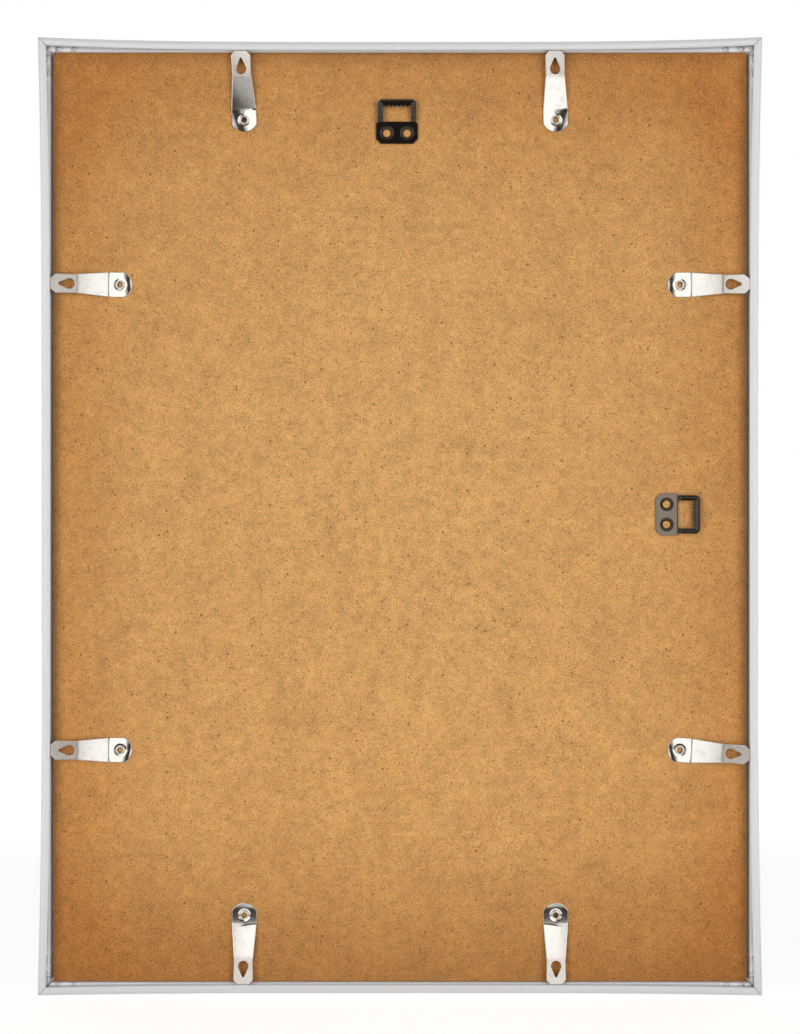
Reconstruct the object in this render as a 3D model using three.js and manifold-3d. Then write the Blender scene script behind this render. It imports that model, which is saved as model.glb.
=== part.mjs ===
// A slim metal picture frame for a 30 x 40 cm picture, as it hangs on a wall, in millimetres.
// X runs to the right for someone looking at its back, Z runs up, and Y runs from the wall into the room.
// The origin is the middle of the frame's box. Depths are counted from the rear plane towards the front.
import * as THREE from "three";
import { mergeVertices } from "three/addons/utils/BufferGeometryUtils.js";
import Module from "manifold-3d";

const wasm = await Module();
wasm.setup();

// Format of the picture, which is also the clear space between the inner walls of the rails
const PICTURE_WIDTH = 300;
const PICTURE_HEIGHT = 400;

// Section of the rails: a hollow body with a front lip, and a channel under a rear flange
const FRAME_DEPTH = 12;
const RAIL_WIDTH = 5;
const OUTER_WALL = 1.2;
const INNER_WALL = 1.1;
const REAR_FLANGE_REACH = 3.5;
const REAR_FLANGE_THICKNESS = 1.2;
const CHANNEL_HEIGHT = 2.4;
const CHANNEL_FLOOR = 1.2;
const FRONT_LIP_OVERLAP = 4;
const FRONT_LIP_THICKNESS = 1.4;
const REAR_EDGE_RADIUS = 0.6;
const FLANGE_EDGE_RADIUS = 0.5;
const INNER_EDGE_RADIUS = 0.3;
const FRONT_EDGE_RADIUS = 0.4;
const MITRE_GAP = 0.1;

// How far the outer wall leans in at the rear flange, halfway between two corners
const FLANGE_DRAW_IN = 1.9;

// Corner keys, and the punch marks that stake them, counted from the inner corner of the channel floor
const KEY_LEG = 18;
const KEY_CLEARANCE = 0.3;
const KEY_SETBACK = 0.2;
const KEY_END_TAPER = 0.7;
const CRIMP_PLACES = [3.6, 10.2];
const CRIMP_LENGTH = 2;
const CRIMP_HEIGHT = 1.7;
const CRIMP_ROOT = 0.3;

// Pane, sheet and back board, stacked on the front lip and resting low between the rails
const GLASS_THICKNESS = 2;
const GLASS_EDGE_SEAM = 0.25;
const SHEET_THICKNESS = 0.3;
const BOARD_THICKNESS = 3;
const STACK_GAP = 0.05;
const PACK_SIDE_GAP = 0.9;
const PACK_HEAD_GAP = 0.4;
const PACK_FOOT_GAP = 0.2;
const FITTINGS_DROP = 0.5;

// Swivel clips: lengths along a clip are counted from its rivet or back from its tip
const RIVET_INSET = 28.9;
const SHORT_RAIL_CLIP_SPREAD = 133.8;
const LONG_RAIL_CLIP_SPREAD = 200;
const CLIP_THICKNESS = 0.5;
const CLIP_SEAT_GAP = 0.12;
const CLIP_BASE_WIDTH = 10.6;
const CLIP_BASE_END = 5.15;
const CLIP_BASE_END_RADIUS = 5.8;
const CLIP_CREASE = 4.9;
const CLIP_BEND_LENGTH = 1;
const TONGUE_WIDTH = 7.9;
const TONGUE_NICK = 0.2;
const TONGUE_FLARE = 0.2;
const TONGUE_LENGTH = 12.5;
const TONGUE_SLOPE = THREE.MathUtils.degToRad(3);
const TIP_TAPER = 3.5;
const TIP_NOSE = 1.2;
const TIP_WIDTH = 4.6;
const TIP_ENGAGEMENT = 1.2;
const TIP_GAP = 0.3;
const TEARDROP_RADIUS = 2.2;
const TEARDROP_APEX_RADIUS = 0.5;
const TEARDROP_FROM_TIP = 9.4;
const TEARDROP_LENGTH = 4.2;

// Tubular rivets
const RIVET_BORE = 2.4;
const RIVET_WALL = 0.3;
const RIVET_HEAD = 4;
const RIVET_HEAD_HEIGHT = 0.55;
const RIVET_HEAD_GAP = 0.12;
const RIVET_DEPTH = 2;
const RIVET_CLIP_CLEARANCE = 0.2;
const PRESS_CLEARANCE = 0.15;

// Saw-tooth hangers: a plate with two collars, and a loop set off from the board
const HANGER_INSET = 34.5;
const HANGER_OFFSET = 1.3;
const HANGER_THICKNESS = 0.9;
const HANGER_SEAT_GAP = 0.12;
const PLATE_WIDTH = 18.1;
const PLATE_HEIGHT = 9.3;
const PLATE_FAR_CHAMFER = 2.1;
const PLATE_NEAR_CHAMFER = 0.7;
const LOOP_WIDTH = 16.5;
const LOOP_HEIGHT = 9.5;
const LOOP_CHAMFER = 1.3;
const LOOP_LIFT = 1.5;
const LOOP_RAMP = 1.4;
const LOOP_ARM = 2.3;
const LOOP_BAR = 2.55;
const EYE_SETBACK = 0.15;
const TOOTH_PITCH = 1.75;
const TOOTH_HEIGHT = 0.75;
const TOOTH_COUNT = 6;
const BEAD_WIDTH = 0.9;
const BEAD_HEIGHT = 0.35;
const BEAD_EDGE = 0.6;
const COLLAR_SPACING = 8.7;
const COLLAR_BORE = 3.5;
const COLLAR_WALL = 0.4;
const COLLAR_DEPTH = 2;
const FUNNEL_DIAMETER = 5.5;
const FUNNEL_DEPTH = 0.6;

// Fineness of the facets
const RAIL_STEPS = 16;
const EDGE_SEGMENTS = 3;
const ROUND_SEGMENTS = 16;
const MERGE_TOLERANCE = 1e-4;
const CUT_MARGIN = 1;

// Places that follow from the sizes above
const HALF_WIDTH = PICTURE_WIDTH / 2 + RAIL_WIDTH;
const HALF_HEIGHT = PICTURE_HEIGHT / 2 + RAIL_WIDTH;
const CHANNEL_TOP = REAR_FLANGE_THICKNESS + CHANNEL_HEIGHT;
const LIP_REAR = FRAME_DEPTH - FRONT_LIP_THICKNESS;
const GLASS_REAR = LIP_REAR - STACK_GAP - GLASS_THICKNESS;
const SHEET_REAR = GLASS_REAR - STACK_GAP - SHEET_THICKNESS;
const BOARD_REAR = SHEET_REAR - STACK_GAP - BOARD_THICKNESS;
const PACK_WIDTH = PICTURE_WIDTH - 2 * PACK_SIDE_GAP;
const PACK_HEIGHT = PICTURE_HEIGHT - PACK_HEAD_GAP - PACK_FOOT_GAP;
const PACK_DROP = (PACK_HEAD_GAP - PACK_FOOT_GAP) / 2;
const FLANGE_EDGE = REAR_FLANGE_REACH + drawInAtDepth(REAR_FLANGE_THICKNESS);
const CLIP_REACH = RIVET_INSET + PACK_SIDE_GAP + RAIL_WIDTH - FLANGE_EDGE + TIP_ENGAGEMENT;
const BARREL_RADIUS = RIVET_BORE / 2 + RIVET_WALL;
const COLLAR_RADIUS = COLLAR_BORE / 2 + COLLAR_WALL;

// Turns about Y that point a piece outward at each side of the frame
const OUTWARD = { top: 0, right: Math.PI / 2, bottom: Math.PI, left: -Math.PI / 2 };

// Each clip's side, its place along that side, and how far its tip was left turned about Y, in degrees.
// A rivet keeps the board's core in its bore, except where the core broke out as it was pressed in.
const CLIP_SITES = [
  { name: "top_left", side: "top", along: -SHORT_RAIL_CLIP_SPREAD / 2, turn: -2.9, core: false },
  { name: "top_right", side: "top", along: SHORT_RAIL_CLIP_SPREAD / 2, turn: -1.2, core: true },
  { name: "right_upper", side: "right", along: LONG_RAIL_CLIP_SPREAD / 2, turn: 0, core: true },
  { name: "right_lower", side: "right", along: -LONG_RAIL_CLIP_SPREAD / 2, turn: 3.4, core: true },
  { name: "bottom_right", side: "bottom", along: SHORT_RAIL_CLIP_SPREAD / 2, turn: 0, core: false },
  { name: "bottom_left", side: "bottom", along: -SHORT_RAIL_CLIP_SPREAD / 2, turn: 0.7, core: true },
  { name: "left_lower", side: "left", along: -LONG_RAIL_CLIP_SPREAD / 2, turn: 0.6, core: true },
  { name: "left_upper", side: "left", along: LONG_RAIL_CLIP_SPREAD / 2, turn: 0.8, core: true },
];

const HANGER_SITES = [
  { name: "hanger_portrait", side: "top", along: -HANGER_OFFSET },
  { name: "hanger_landscape", side: "right", along: HANGER_OFFSET },
];

const materials = {
  rail: { color: 0xd8d9db, roughness: 0.38, metalness: 1 },
  key: { color: 0xa9abad, roughness: 0.5, metalness: 1 },
  glass: { color: 0xeef4f2, roughness: 0.03, metalness: 0 },
  sheet: { color: 0xf2f0ea, roughness: 0.9, metalness: 0 },
  board: { color: 0xcb9a61, roughness: 0.8, metalness: 0 },
  nickel: { color: 0xd6d4cf, roughness: 0.22, metalness: 1 },
  blackSteel: { color: 0x17171a, roughness: 0.35, metalness: 0.4 },
};

// How far the outer wall leans in at the middle of a rail: most at the rear, nothing at the front lip.
function drawInAtDepth(depth) {
  return FLANGE_DRAW_IN * Math.max(0, 1 - depth / LIP_REAR);
}

// Share of that across a rail: the whole flange moves with the outer wall, and the inner wall stays straight.
function drawInAcross(inward, depth) {
  const innerFace = RAIL_WIDTH - INNER_WALL;
  const onFlange = depth < CHANNEL_TOP - CHANNEL_HEIGHT / 2;
  return onFlange ? 1 : THREE.MathUtils.clamp((innerFace - inward) / (innerFace - OUTER_WALL), 0, 1);
}

// Share of that along a rail, from -1 to 1: the corner keys hold the ends straight.
function drawInAlong(station, halfLength) {
  const freeEnd = 1 - (OUTER_WALL + KEY_CLEARANCE + KEY_LEG) / halfLength;
  return 1 - Math.min(1, Math.abs(station) / freeEnd) ** 3;
}

function solidFrom(geometry) {
  const bare = geometry.clone();
  bare.deleteAttribute("normal");
  bare.deleteAttribute("uv");
  const merged = mergeVertices(bare, MERGE_TOLERANCE);
  return new wasm.Manifold(
    new wasm.Mesh({
      numProp: 3,
      vertProperties: merged.getAttribute("position").array,
      triVerts: new Uint32Array(merged.getIndex().array),
    }),
  );
}

function geometryFrom(solid) {
  const { vertProperties, triVerts } = solid.getMesh();
  const shared = new THREE.BufferGeometry();
  shared.setAttribute("position", new THREE.BufferAttribute(vertProperties, 3));
  shared.setIndex(new THREE.BufferAttribute(triVerts, 1));
  const faceted = shared.toNonIndexed();
  faceted.computeVertexNormals();
  return faceted;
}

function addPiece(parent, name, geometry, finish) {
  const mesh = new THREE.Mesh(geometry, new THREE.MeshStandardMaterial(finish));
  mesh.name = name;
  parent.add(mesh);
  return mesh;
}

// A plan outline, drawn with Y outward, raised off the board from one height to another.
function raised(shape, low, high, options = {}) {
  const geometry = new THREE.ExtrudeGeometry(shape, {
    depth: high - low,
    bevelEnabled: false,
    curveSegments: ROUND_SEGMENTS / 2,
    ...options,
  });
  geometry.translate(0, 0, low);
  return geometry.rotateX(Math.PI / 2);
}

// A side outline, drawn with X outward and Y off the board, spread evenly to both sides.
function spread(shape, width) {
  const geometry = new THREE.ExtrudeGeometry(shape, { depth: width, bevelEnabled: false });
  geometry.translate(0, 0, -width / 2);
  const outward = new THREE.Vector3(0, 0, 1);
  const offBoard = new THREE.Vector3(0, -1, 0);
  const sideways = new THREE.Vector3(1, 0, 0);
  return geometry.applyMatrix4(new THREE.Matrix4().makeBasis(outward, offBoard, sideways));
}

// A closed profile of [radius, height off the board] pairs, turned about an axis square to the board.
function turned(profile) {
  const points = profile.map(([radius, height]) => new THREE.Vector2(radius, height));
  return new THREE.LatheGeometry([...points, points[0]], ROUND_SEGMENTS).rotateX(Math.PI);
}

function outlineOf(points) {
  return new THREE.Shape(points.map(([x, y]) => new THREE.Vector2(x, y)));
}

// Section of a rail, with X inward from the outer face and Y as the depth.
function railSection() {
  const lipReach = RAIL_WIDTH + FRONT_LIP_OVERLAP;
  const section = new THREE.Shape();
  const round = (x, y, radius, start) =>
    section.absarc(x, y, radius, start, start + Math.PI / 2, false);
  round(REAR_EDGE_RADIUS, REAR_EDGE_RADIUS, REAR_EDGE_RADIUS, Math.PI);
  round(REAR_FLANGE_REACH - FLANGE_EDGE_RADIUS, FLANGE_EDGE_RADIUS, FLANGE_EDGE_RADIUS, 1.5 * Math.PI);
  section.lineTo(REAR_FLANGE_REACH, REAR_FLANGE_THICKNESS);
  section.lineTo(OUTER_WALL, REAR_FLANGE_THICKNESS);
  section.lineTo(OUTER_WALL, CHANNEL_TOP);
  round(RAIL_WIDTH - INNER_EDGE_RADIUS, CHANNEL_TOP + INNER_EDGE_RADIUS, INNER_EDGE_RADIUS, 1.5 * Math.PI);
  section.lineTo(RAIL_WIDTH, LIP_REAR);
  section.lineTo(lipReach, LIP_REAR);
  round(lipReach - FRONT_EDGE_RADIUS, FRAME_DEPTH - FRONT_EDGE_RADIUS, FRONT_EDGE_RADIUS, 0);
  round(FRONT_EDGE_RADIUS, FRAME_DEPTH - FRONT_EDGE_RADIUS, FRONT_EDGE_RADIUS, Math.PI / 2);
  section.closePath();
  const chamberRear = CHANNEL_TOP + CHANNEL_FLOOR;
  const chamberInner = RAIL_WIDTH - INNER_WALL;
  section.holes.push(
    outlineOf([
      [OUTER_WALL, chamberRear],
      [OUTER_WALL, LIP_REAR],
      [chamberInner, LIP_REAR],
      [chamberInner, chamberRear],
    ]),
  );
  return section;
}

// A punch mark: the channel floor pushed up into a small ridge with four facets.
function crimp(along) {
  const keyInner = REAR_FLANGE_REACH - KEY_SETBACK;
  const low = keyInner + KEY_CLEARANCE;
  const high = RAIL_WIDTH - INNER_EDGE_RADIUS;
  const cone = new THREE.ConeGeometry(1, CRIMP_HEIGHT + CRIMP_ROOT, 4);
  cone.scale(CRIMP_LENGTH / 2, 1, (high - low) / 2);
  cone.rotateX(Math.PI);
  const middle = CHANNEL_TOP + CRIMP_ROOT - (CRIMP_HEIGHT + CRIMP_ROOT) / 2;
  return cone.translate(along, middle - FRAME_DEPTH / 2, (low + high) / 2);
}

// A rail along X with its outer face at Z = 0, mitred at both ends.
function railGeometry(halfLength) {
  const blank = new THREE.ExtrudeGeometry(railSection(), {
    depth: 2,
    steps: RAIL_STEPS,
    curveSegments: EDGE_SEGMENTS,
    bevelEnabled: false,
  });
  const position = blank.getAttribute("position");
  for (let i = 0; i < position.count; i += 1) {
    const inward = position.getX(i);
    const depth = position.getY(i);
    const station = 1 - position.getZ(i);
    const drawIn = drawInAtDepth(depth) * drawInAcross(inward, depth) * drawInAlong(station, halfLength);
    const along = station * (halfLength - MITRE_GAP - inward);
    position.setXYZ(i, along, depth - FRAME_DEPTH / 2, inward + drawIn);
  }
  let rail = solidFrom(blank);
  for (const place of CRIMP_PLACES) {
    const along = halfLength - RAIL_WIDTH - place;
    rail = rail.add(solidFrom(crimp(along))).add(solidFrom(crimp(-along)));
  }
  return geometryFrom(rail);
}

// An L-shaped key for one corner, with its outer corner at the channel's and its legs along +X and +Z.
function cornerKeyGeometry() {
  const outer = OUTER_WALL + KEY_CLEARANCE;
  const inner = REAR_FLANGE_REACH - KEY_SETBACK;
  const end = outer + KEY_LEG;
  const outline = outlineOf([
    [outer + KEY_END_TAPER, outer],
    [end - KEY_END_TAPER, outer],
    [end, outer + KEY_END_TAPER],
    [end, inner],
    [inner, inner],
    [inner, end],
    [outer + KEY_END_TAPER, end],
    [outer, end - KEY_END_TAPER],
    [outer, outer + KEY_END_TAPER],
  ]);
  const rear = REAR_FLANGE_THICKNESS + KEY_CLEARANCE;
  const front = CHANNEL_TOP - KEY_CLEARANCE;
  return raised(outline, FRAME_DEPTH / 2 - front, FRAME_DEPTH / 2 - rear);
}

function sheetGeometry(thickness) {
  return new THREE.BoxGeometry(PACK_WIDTH, thickness, PACK_HEIGHT);
}

// The pane has its sharp edges ground off.
function paneGeometry() {
  const x = PACK_WIDTH / 2 - GLASS_EDGE_SEAM;
  const z = PACK_HEIGHT / 2 - GLASS_EDGE_SEAM;
  const outline = outlineOf([
    [-x, -z],
    [x, -z],
    [x, z],
    [-x, z],
  ]);
  const half = GLASS_THICKNESS / 2 - GLASS_EDGE_SEAM;
  return raised(outline, -half, half, {
    bevelEnabled: true,
    bevelSize: GLASS_EDGE_SEAM,
    bevelThickness: GLASS_EDGE_SEAM,
    bevelSegments: 1,
  });
}

// The point on the board's rear face at a place along a side and an inset from that side. The whole pattern of
// rivets and hangers sits a little low.
function boardPlace(side, along, inset) {
  const x = PACK_WIDTH / 2 - inset;
  const z = PACK_HEIGHT / 2 - inset;
  const places = { top: [along, z], bottom: [along, -z], right: [x, along], left: [-x, along] };
  const [placeX, placeZ] = places[side];
  return new THREE.Vector3(placeX, BOARD_REAR - FRAME_DEPTH / 2, placeZ - FITTINGS_DROP);
}

// A ring groove, or a plain blind hole where the core is gone, for a tube pressed into the board.
function pressedHole(bore, wall, depth, core) {
  const inner = core ? bore / 2 - PRESS_CLEARANCE : 0;
  const outer = bore / 2 + wall + PRESS_CLEARANCE;
  const floor = -depth - PRESS_CLEARANCE;
  return turned([
    [inner, floor],
    [outer, floor],
    [outer, CUT_MARGIN],
    [inner, CUT_MARGIN],
  ]);
}

function boardGeometry() {
  const middle = BOARD_REAR + BOARD_THICKNESS / 2 - FRAME_DEPTH / 2;
  let board = solidFrom(sheetGeometry(BOARD_THICKNESS).translate(0, middle, -PACK_DROP));
  for (const site of CLIP_SITES) {
    const hole = pressedHole(RIVET_BORE, RIVET_WALL, RIVET_DEPTH, site.core);
    const place = boardPlace(site.side, site.along, RIVET_INSET);
    board = board.subtract(solidFrom(hole.translate(place.x, place.y, place.z)));
  }
  for (const site of HANGER_SITES) {
    for (const sideways of [-COLLAR_SPACING / 2, COLLAR_SPACING / 2]) {
      const hole = pressedHole(COLLAR_BORE, COLLAR_WALL, COLLAR_DEPTH, true);
      const place = boardPlace(site.side, site.along + sideways, HANGER_INSET);
      board = board.subtract(solidFrom(hole.translate(place.x, place.y, place.z)));
    }
  }
  return geometryFrom(board);
}

// Plan of a clip: round base, tapered shank, parallel tongue and pointed tip, with its two holes.
function clipPlan() {
  const base = CLIP_BASE_WIDTH / 2;
  const shoulder = CLIP_REACH - TONGUE_LENGTH;
  const taper = CLIP_REACH - TIP_TAPER;
  const nose = CLIP_REACH - TIP_NOSE;
  const tongue = TONGUE_WIDTH / 2;
  const tip = TIP_WIDTH / 2;
  const side = [
    [base, CLIP_CREASE],
    [tongue + TONGUE_NICK, shoulder - TONGUE_NICK],
    [tongue, shoulder],
    [tongue + TONGUE_FLARE, taper],
    [tip, nose],
    [tip, CLIP_REACH],
  ];
  const endCentre = CLIP_BASE_END_RADIUS - CLIP_BASE_END;
  const endAngle = Math.acos(base / CLIP_BASE_END_RADIUS);
  const plan = new THREE.Shape();
  plan.absarc(0, endCentre, CLIP_BASE_END_RADIUS, Math.PI + endAngle, 2 * Math.PI - endAngle, false);
  side.forEach(([x, y]) => plan.lineTo(x, y));
  side.reverse().forEach(([x, y]) => plan.lineTo(-x, y));
  plan.closePath();

  const rivetHole = new THREE.Path();
  rivetHole.absarc(0, 0, BARREL_RADIUS + RIVET_CLIP_CLEARANCE, 0, 2 * Math.PI, false);
  const round = CLIP_REACH - TEARDROP_FROM_TIP;
  const tangent = Math.asin((TEARDROP_RADIUS - TEARDROP_APEX_RADIUS) / TEARDROP_LENGTH);
  const teardrop = new THREE.Path();
  teardrop.absarc(0, round, TEARDROP_RADIUS, Math.PI - tangent, 2 * Math.PI + tangent, false);
  teardrop.absarc(0, round + TEARDROP_LENGTH, TEARDROP_APEX_RADIUS, tangent, Math.PI - tangent, false);
  teardrop.closePath();
  plan.holes.push(rivetHole, teardrop);
  return plan;
}

// Side view of a clip: flat base, a bend up at the crease, and a flatter tongue to under the rear flange.
function clipSide() {
  const shoulder = CLIP_REACH - TONGUE_LENGTH;
  const tipHeight = BOARD_REAR - REAR_FLANGE_THICKNESS - TIP_GAP - CLIP_THICKNESS;
  const shoulderHeight = tipHeight - TONGUE_LENGTH * Math.tan(TONGUE_SLOPE);
  const shankSlope = (shoulderHeight - CLIP_SEAT_GAP) / (shoulder - CLIP_CREASE);
  const bend = CLIP_BEND_LENGTH / 2;
  const underside = [
    [-CLIP_BASE_END - CUT_MARGIN, CLIP_SEAT_GAP],
    [CLIP_CREASE - bend, CLIP_SEAT_GAP],
    [CLIP_CREASE + bend, CLIP_SEAT_GAP + bend * shankSlope],
    [shoulder - bend, shoulderHeight - bend * shankSlope],
    [shoulder + bend, shoulderHeight + bend * Math.tan(TONGUE_SLOPE)],
    [CLIP_REACH, tipHeight],
    [CLIP_REACH + CUT_MARGIN, tipHeight],
  ];
  const upper = underside.map(([outward, height]) => [outward, height + CLIP_THICKNESS]);
  return outlineOf([...underside, ...upper.reverse()]);
}

function clipGeometry() {
  const strip = solidFrom(spread(clipSide(), CLIP_BASE_WIDTH + 2 * CUT_MARGIN));
  const blank = solidFrom(raised(clipPlan(), -CUT_MARGIN, FRAME_DEPTH));
  return geometryFrom(strip.intersect(blank));
}

// A tubular rivet: a rolled head over the clip and a barrel pressed into the board.
function rivetGeometry() {
  const under = CLIP_SEAT_GAP + CLIP_THICKNESS + RIVET_HEAD_GAP;
  const top = under + RIVET_HEAD_HEIGHT;
  const bore = RIVET_BORE / 2;
  const head = RIVET_HEAD / 2;
  const crown = (bore + head) / 2;
  const roll = RIVET_HEAD_HEIGHT / 2;
  return turned([
    [bore, -RIVET_DEPTH],
    [BARREL_RADIUS, -RIVET_DEPTH],
    [BARREL_RADIUS, under],
    [head - roll / 2, under],
    [head, under + roll],
    [crown, top],
    [bore, under + roll],
  ]);
}

// Plan of a hanger, with Y = 0 on the line of its two collars and the loop outward.
function hangerPlan() {
  const plate = PLATE_WIDTH / 2;
  const far = -PLATE_HEIGHT / 2;
  const near = PLATE_HEIGHT / 2;
  const loop = LOOP_WIDTH / 2;
  const end = near + LOOP_HEIGHT;
  const side = [
    [plate - PLATE_FAR_CHAMFER, far],
    [plate, far + PLATE_FAR_CHAMFER],
    [plate, near - PLATE_NEAR_CHAMFER],
    [loop, near],
    [loop, end - LOOP_CHAMFER],
    [loop - LOOP_CHAMFER, end],
  ];
  const mirrored = side.map(([x, y]) => [-x, y]).reverse();
  const plan = outlineOf([...side, ...mirrored]);

  const opening = loop - LOOP_ARM;
  const root = end - LOOP_BAR;
  const eye = [
    [-opening, near + EYE_SETBACK],
    [opening, near + EYE_SETBACK],
    [opening, root],
  ];
  for (let tooth = 0; tooth < TOOTH_COUNT; tooth += 1) {
    const x = (TOOTH_COUNT / 2 - tooth) * TOOTH_PITCH;
    eye.push([x, root], [x - TOOTH_PITCH / 2, root - TOOTH_HEIGHT]);
  }
  eye.push([(-TOOTH_COUNT / 2) * TOOTH_PITCH, root], [-opening, root]);
  plan.holes.push(outlineOf(eye));
  return plan;
}

// Side view of a hanger: the plate on the board, a short ramp and the lifted loop.
function hangerSide() {
  const near = PLATE_HEIGHT / 2;
  const lifted = HANGER_SEAT_GAP + LOOP_LIFT;
  const underside = [
    [-near - CUT_MARGIN, HANGER_SEAT_GAP],
    [near, HANGER_SEAT_GAP],
    [near + LOOP_RAMP, lifted],
    [near + LOOP_HEIGHT + CUT_MARGIN, lifted],
  ];
  const upper = underside.map(([outward, height]) => [outward, height + HANGER_THICKNESS]);
  return outlineOf([...underside, ...upper.reverse()]);
}

// The raised bead that stiffens the loop, along its arms and its bar.
function beadGeometry() {
  const near = PLATE_HEIGHT / 2 + LOOP_RAMP;
  const outer = LOOP_WIDTH / 2 - BEAD_EDGE;
  const inner = outer - BEAD_WIDTH;
  const end = PLATE_HEIGHT / 2 + LOOP_HEIGHT - BEAD_EDGE;
  const outline = outlineOf([
    [outer, near],
    [outer, end - LOOP_CHAMFER],
    [outer - LOOP_CHAMFER, end],
    [-outer + LOOP_CHAMFER, end],
    [-outer, end - LOOP_CHAMFER],
    [-outer, near],
    [-inner, near],
    [-inner, end - BEAD_WIDTH],
    [inner, end - BEAD_WIDTH],
    [inner, near],
  ]);
  const face = HANGER_SEAT_GAP + LOOP_LIFT + HANGER_THICKNESS;
  return raised(outline, face - BEAD_HEIGHT, face + BEAD_HEIGHT);
}

function hangerGeometry() {
  const width = PLATE_WIDTH + 2 * CUT_MARGIN;
  const strip = solidFrom(spread(hangerSide(), width));
  const blank = solidFrom(raised(hangerPlan(), -CUT_MARGIN, FRAME_DEPTH));
  let hanger = strip.intersect(blank).add(solidFrom(beadGeometry()));
  const face = HANGER_SEAT_GAP + HANGER_THICKNESS;
  const bore = COLLAR_BORE / 2;
  for (const sideways of [-COLLAR_SPACING / 2, COLLAR_SPACING / 2]) {
    const collar = turned([
      [0, -COLLAR_DEPTH],
      [COLLAR_RADIUS, -COLLAR_DEPTH],
      [COLLAR_RADIUS, face - FUNNEL_DEPTH / 2],
      [0, face - FUNNEL_DEPTH / 2],
    ]);
    const funnel = turned([
      [0, -COLLAR_DEPTH - CUT_MARGIN],
      [bore, -COLLAR_DEPTH - CUT_MARGIN],
      [bore, face - FUNNEL_DEPTH],
      [FUNNEL_DIAMETER / 2, face],
      [FUNNEL_DIAMETER / 2, face + CUT_MARGIN],
      [0, face + CUT_MARGIN],
    ]);
    hanger = hanger.add(solidFrom(collar.translate(sideways, 0, 0)));
    hanger = hanger.subtract(solidFrom(funnel.translate(sideways, 0, 0)));
  }
  return geometryFrom(hanger);
}

function addRails(frame) {
  const sides = [
    { name: "rail_bottom", inward: 0, halfLength: HALF_WIDTH, place: [0, 0, -HALF_HEIGHT] },
    { name: "rail_left", inward: Math.PI / 2, halfLength: HALF_HEIGHT, place: [-HALF_WIDTH, 0, 0] },
    { name: "rail_top", inward: Math.PI, halfLength: HALF_WIDTH, place: [0, 0, HALF_HEIGHT] },
    { name: "rail_right", inward: -Math.PI / 2, halfLength: HALF_HEIGHT, place: [HALF_WIDTH, 0, 0] },
  ];
  for (const { name, inward, halfLength, place } of sides) {
    const rail = addPiece(frame, name, railGeometry(halfLength), materials.rail);
    rail.rotation.y = inward;
    rail.position.set(...place);
  }
}

function addCornerKeys(frame) {
  const corners = [
    { name: "bottom_left", turn: 0, x: -HALF_WIDTH, z: -HALF_HEIGHT },
    { name: "top_left", turn: Math.PI / 2, x: -HALF_WIDTH, z: HALF_HEIGHT },
    { name: "top_right", turn: Math.PI, x: HALF_WIDTH, z: HALF_HEIGHT },
    { name: "bottom_right", turn: -Math.PI / 2, x: HALF_WIDTH, z: -HALF_HEIGHT },
  ];
  for (const { name, turn, x, z } of corners) {
    const key = addPiece(frame, `corner_key_${name}`, cornerKeyGeometry(), materials.key);
    key.rotation.y = turn;
    key.position.set(x, 0, z);
  }
}

function addPack(frame) {
  const pane = addPiece(frame, "glazing", paneGeometry(), materials.glass);
  pane.position.set(0, GLASS_REAR + GLASS_THICKNESS / 2 - FRAME_DEPTH / 2, -PACK_DROP);
  const sheet = addPiece(frame, "insert_sheet", sheetGeometry(SHEET_THICKNESS), materials.sheet);
  sheet.position.set(0, SHEET_REAR + SHEET_THICKNESS / 2 - FRAME_DEPTH / 2, -PACK_DROP);
  addPiece(frame, "back_board", boardGeometry(), materials.board);
}

function addClips(frame) {
  for (const { name, side, along, turn } of CLIP_SITES) {
    const holder = new THREE.Group();
    holder.position.copy(boardPlace(side, along, RIVET_INSET));
    holder.rotation.y = OUTWARD[side];
    frame.add(holder);
    const clip = addPiece(holder, `clip_${name}`, clipGeometry(), materials.nickel);
    clip.rotation.y = THREE.MathUtils.degToRad(turn);
    addPiece(holder, `rivet_${name}`, rivetGeometry(), materials.nickel);
  }
}

function addHangers(frame) {
  for (const { name, side, along } of HANGER_SITES) {
    const hanger = addPiece(frame, name, hangerGeometry(), materials.blackSteel);
    hanger.position.copy(boardPlace(side, along, HANGER_INSET));
    hanger.rotation.y = OUTWARD[side];
  }
}

const frame = new THREE.Group();
addRails(frame);
addCornerKeys(frame);
addPack(frame);
addClips(frame);
addHangers(frame);

export default frame;
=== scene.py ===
"""A slim metal picture frame for a 30 x 40 cm picture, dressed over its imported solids.

Lengths in the classes are millimetres, as on a drawing, and metres in the studio.
X runs to the right for someone looking at the back, Z runs up, and Y runs from the wall into
the room.
"""

import logging
import math
from dataclasses import dataclass, field
from enum import Enum
from typing import Any, Callable, List, Mapping, Optional, Sequence, Tuple, Union

import bmesh
import bpy
from mathutils import Matrix, Vector
from mathutils.geometry import delaunay_2d_cdt


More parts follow.
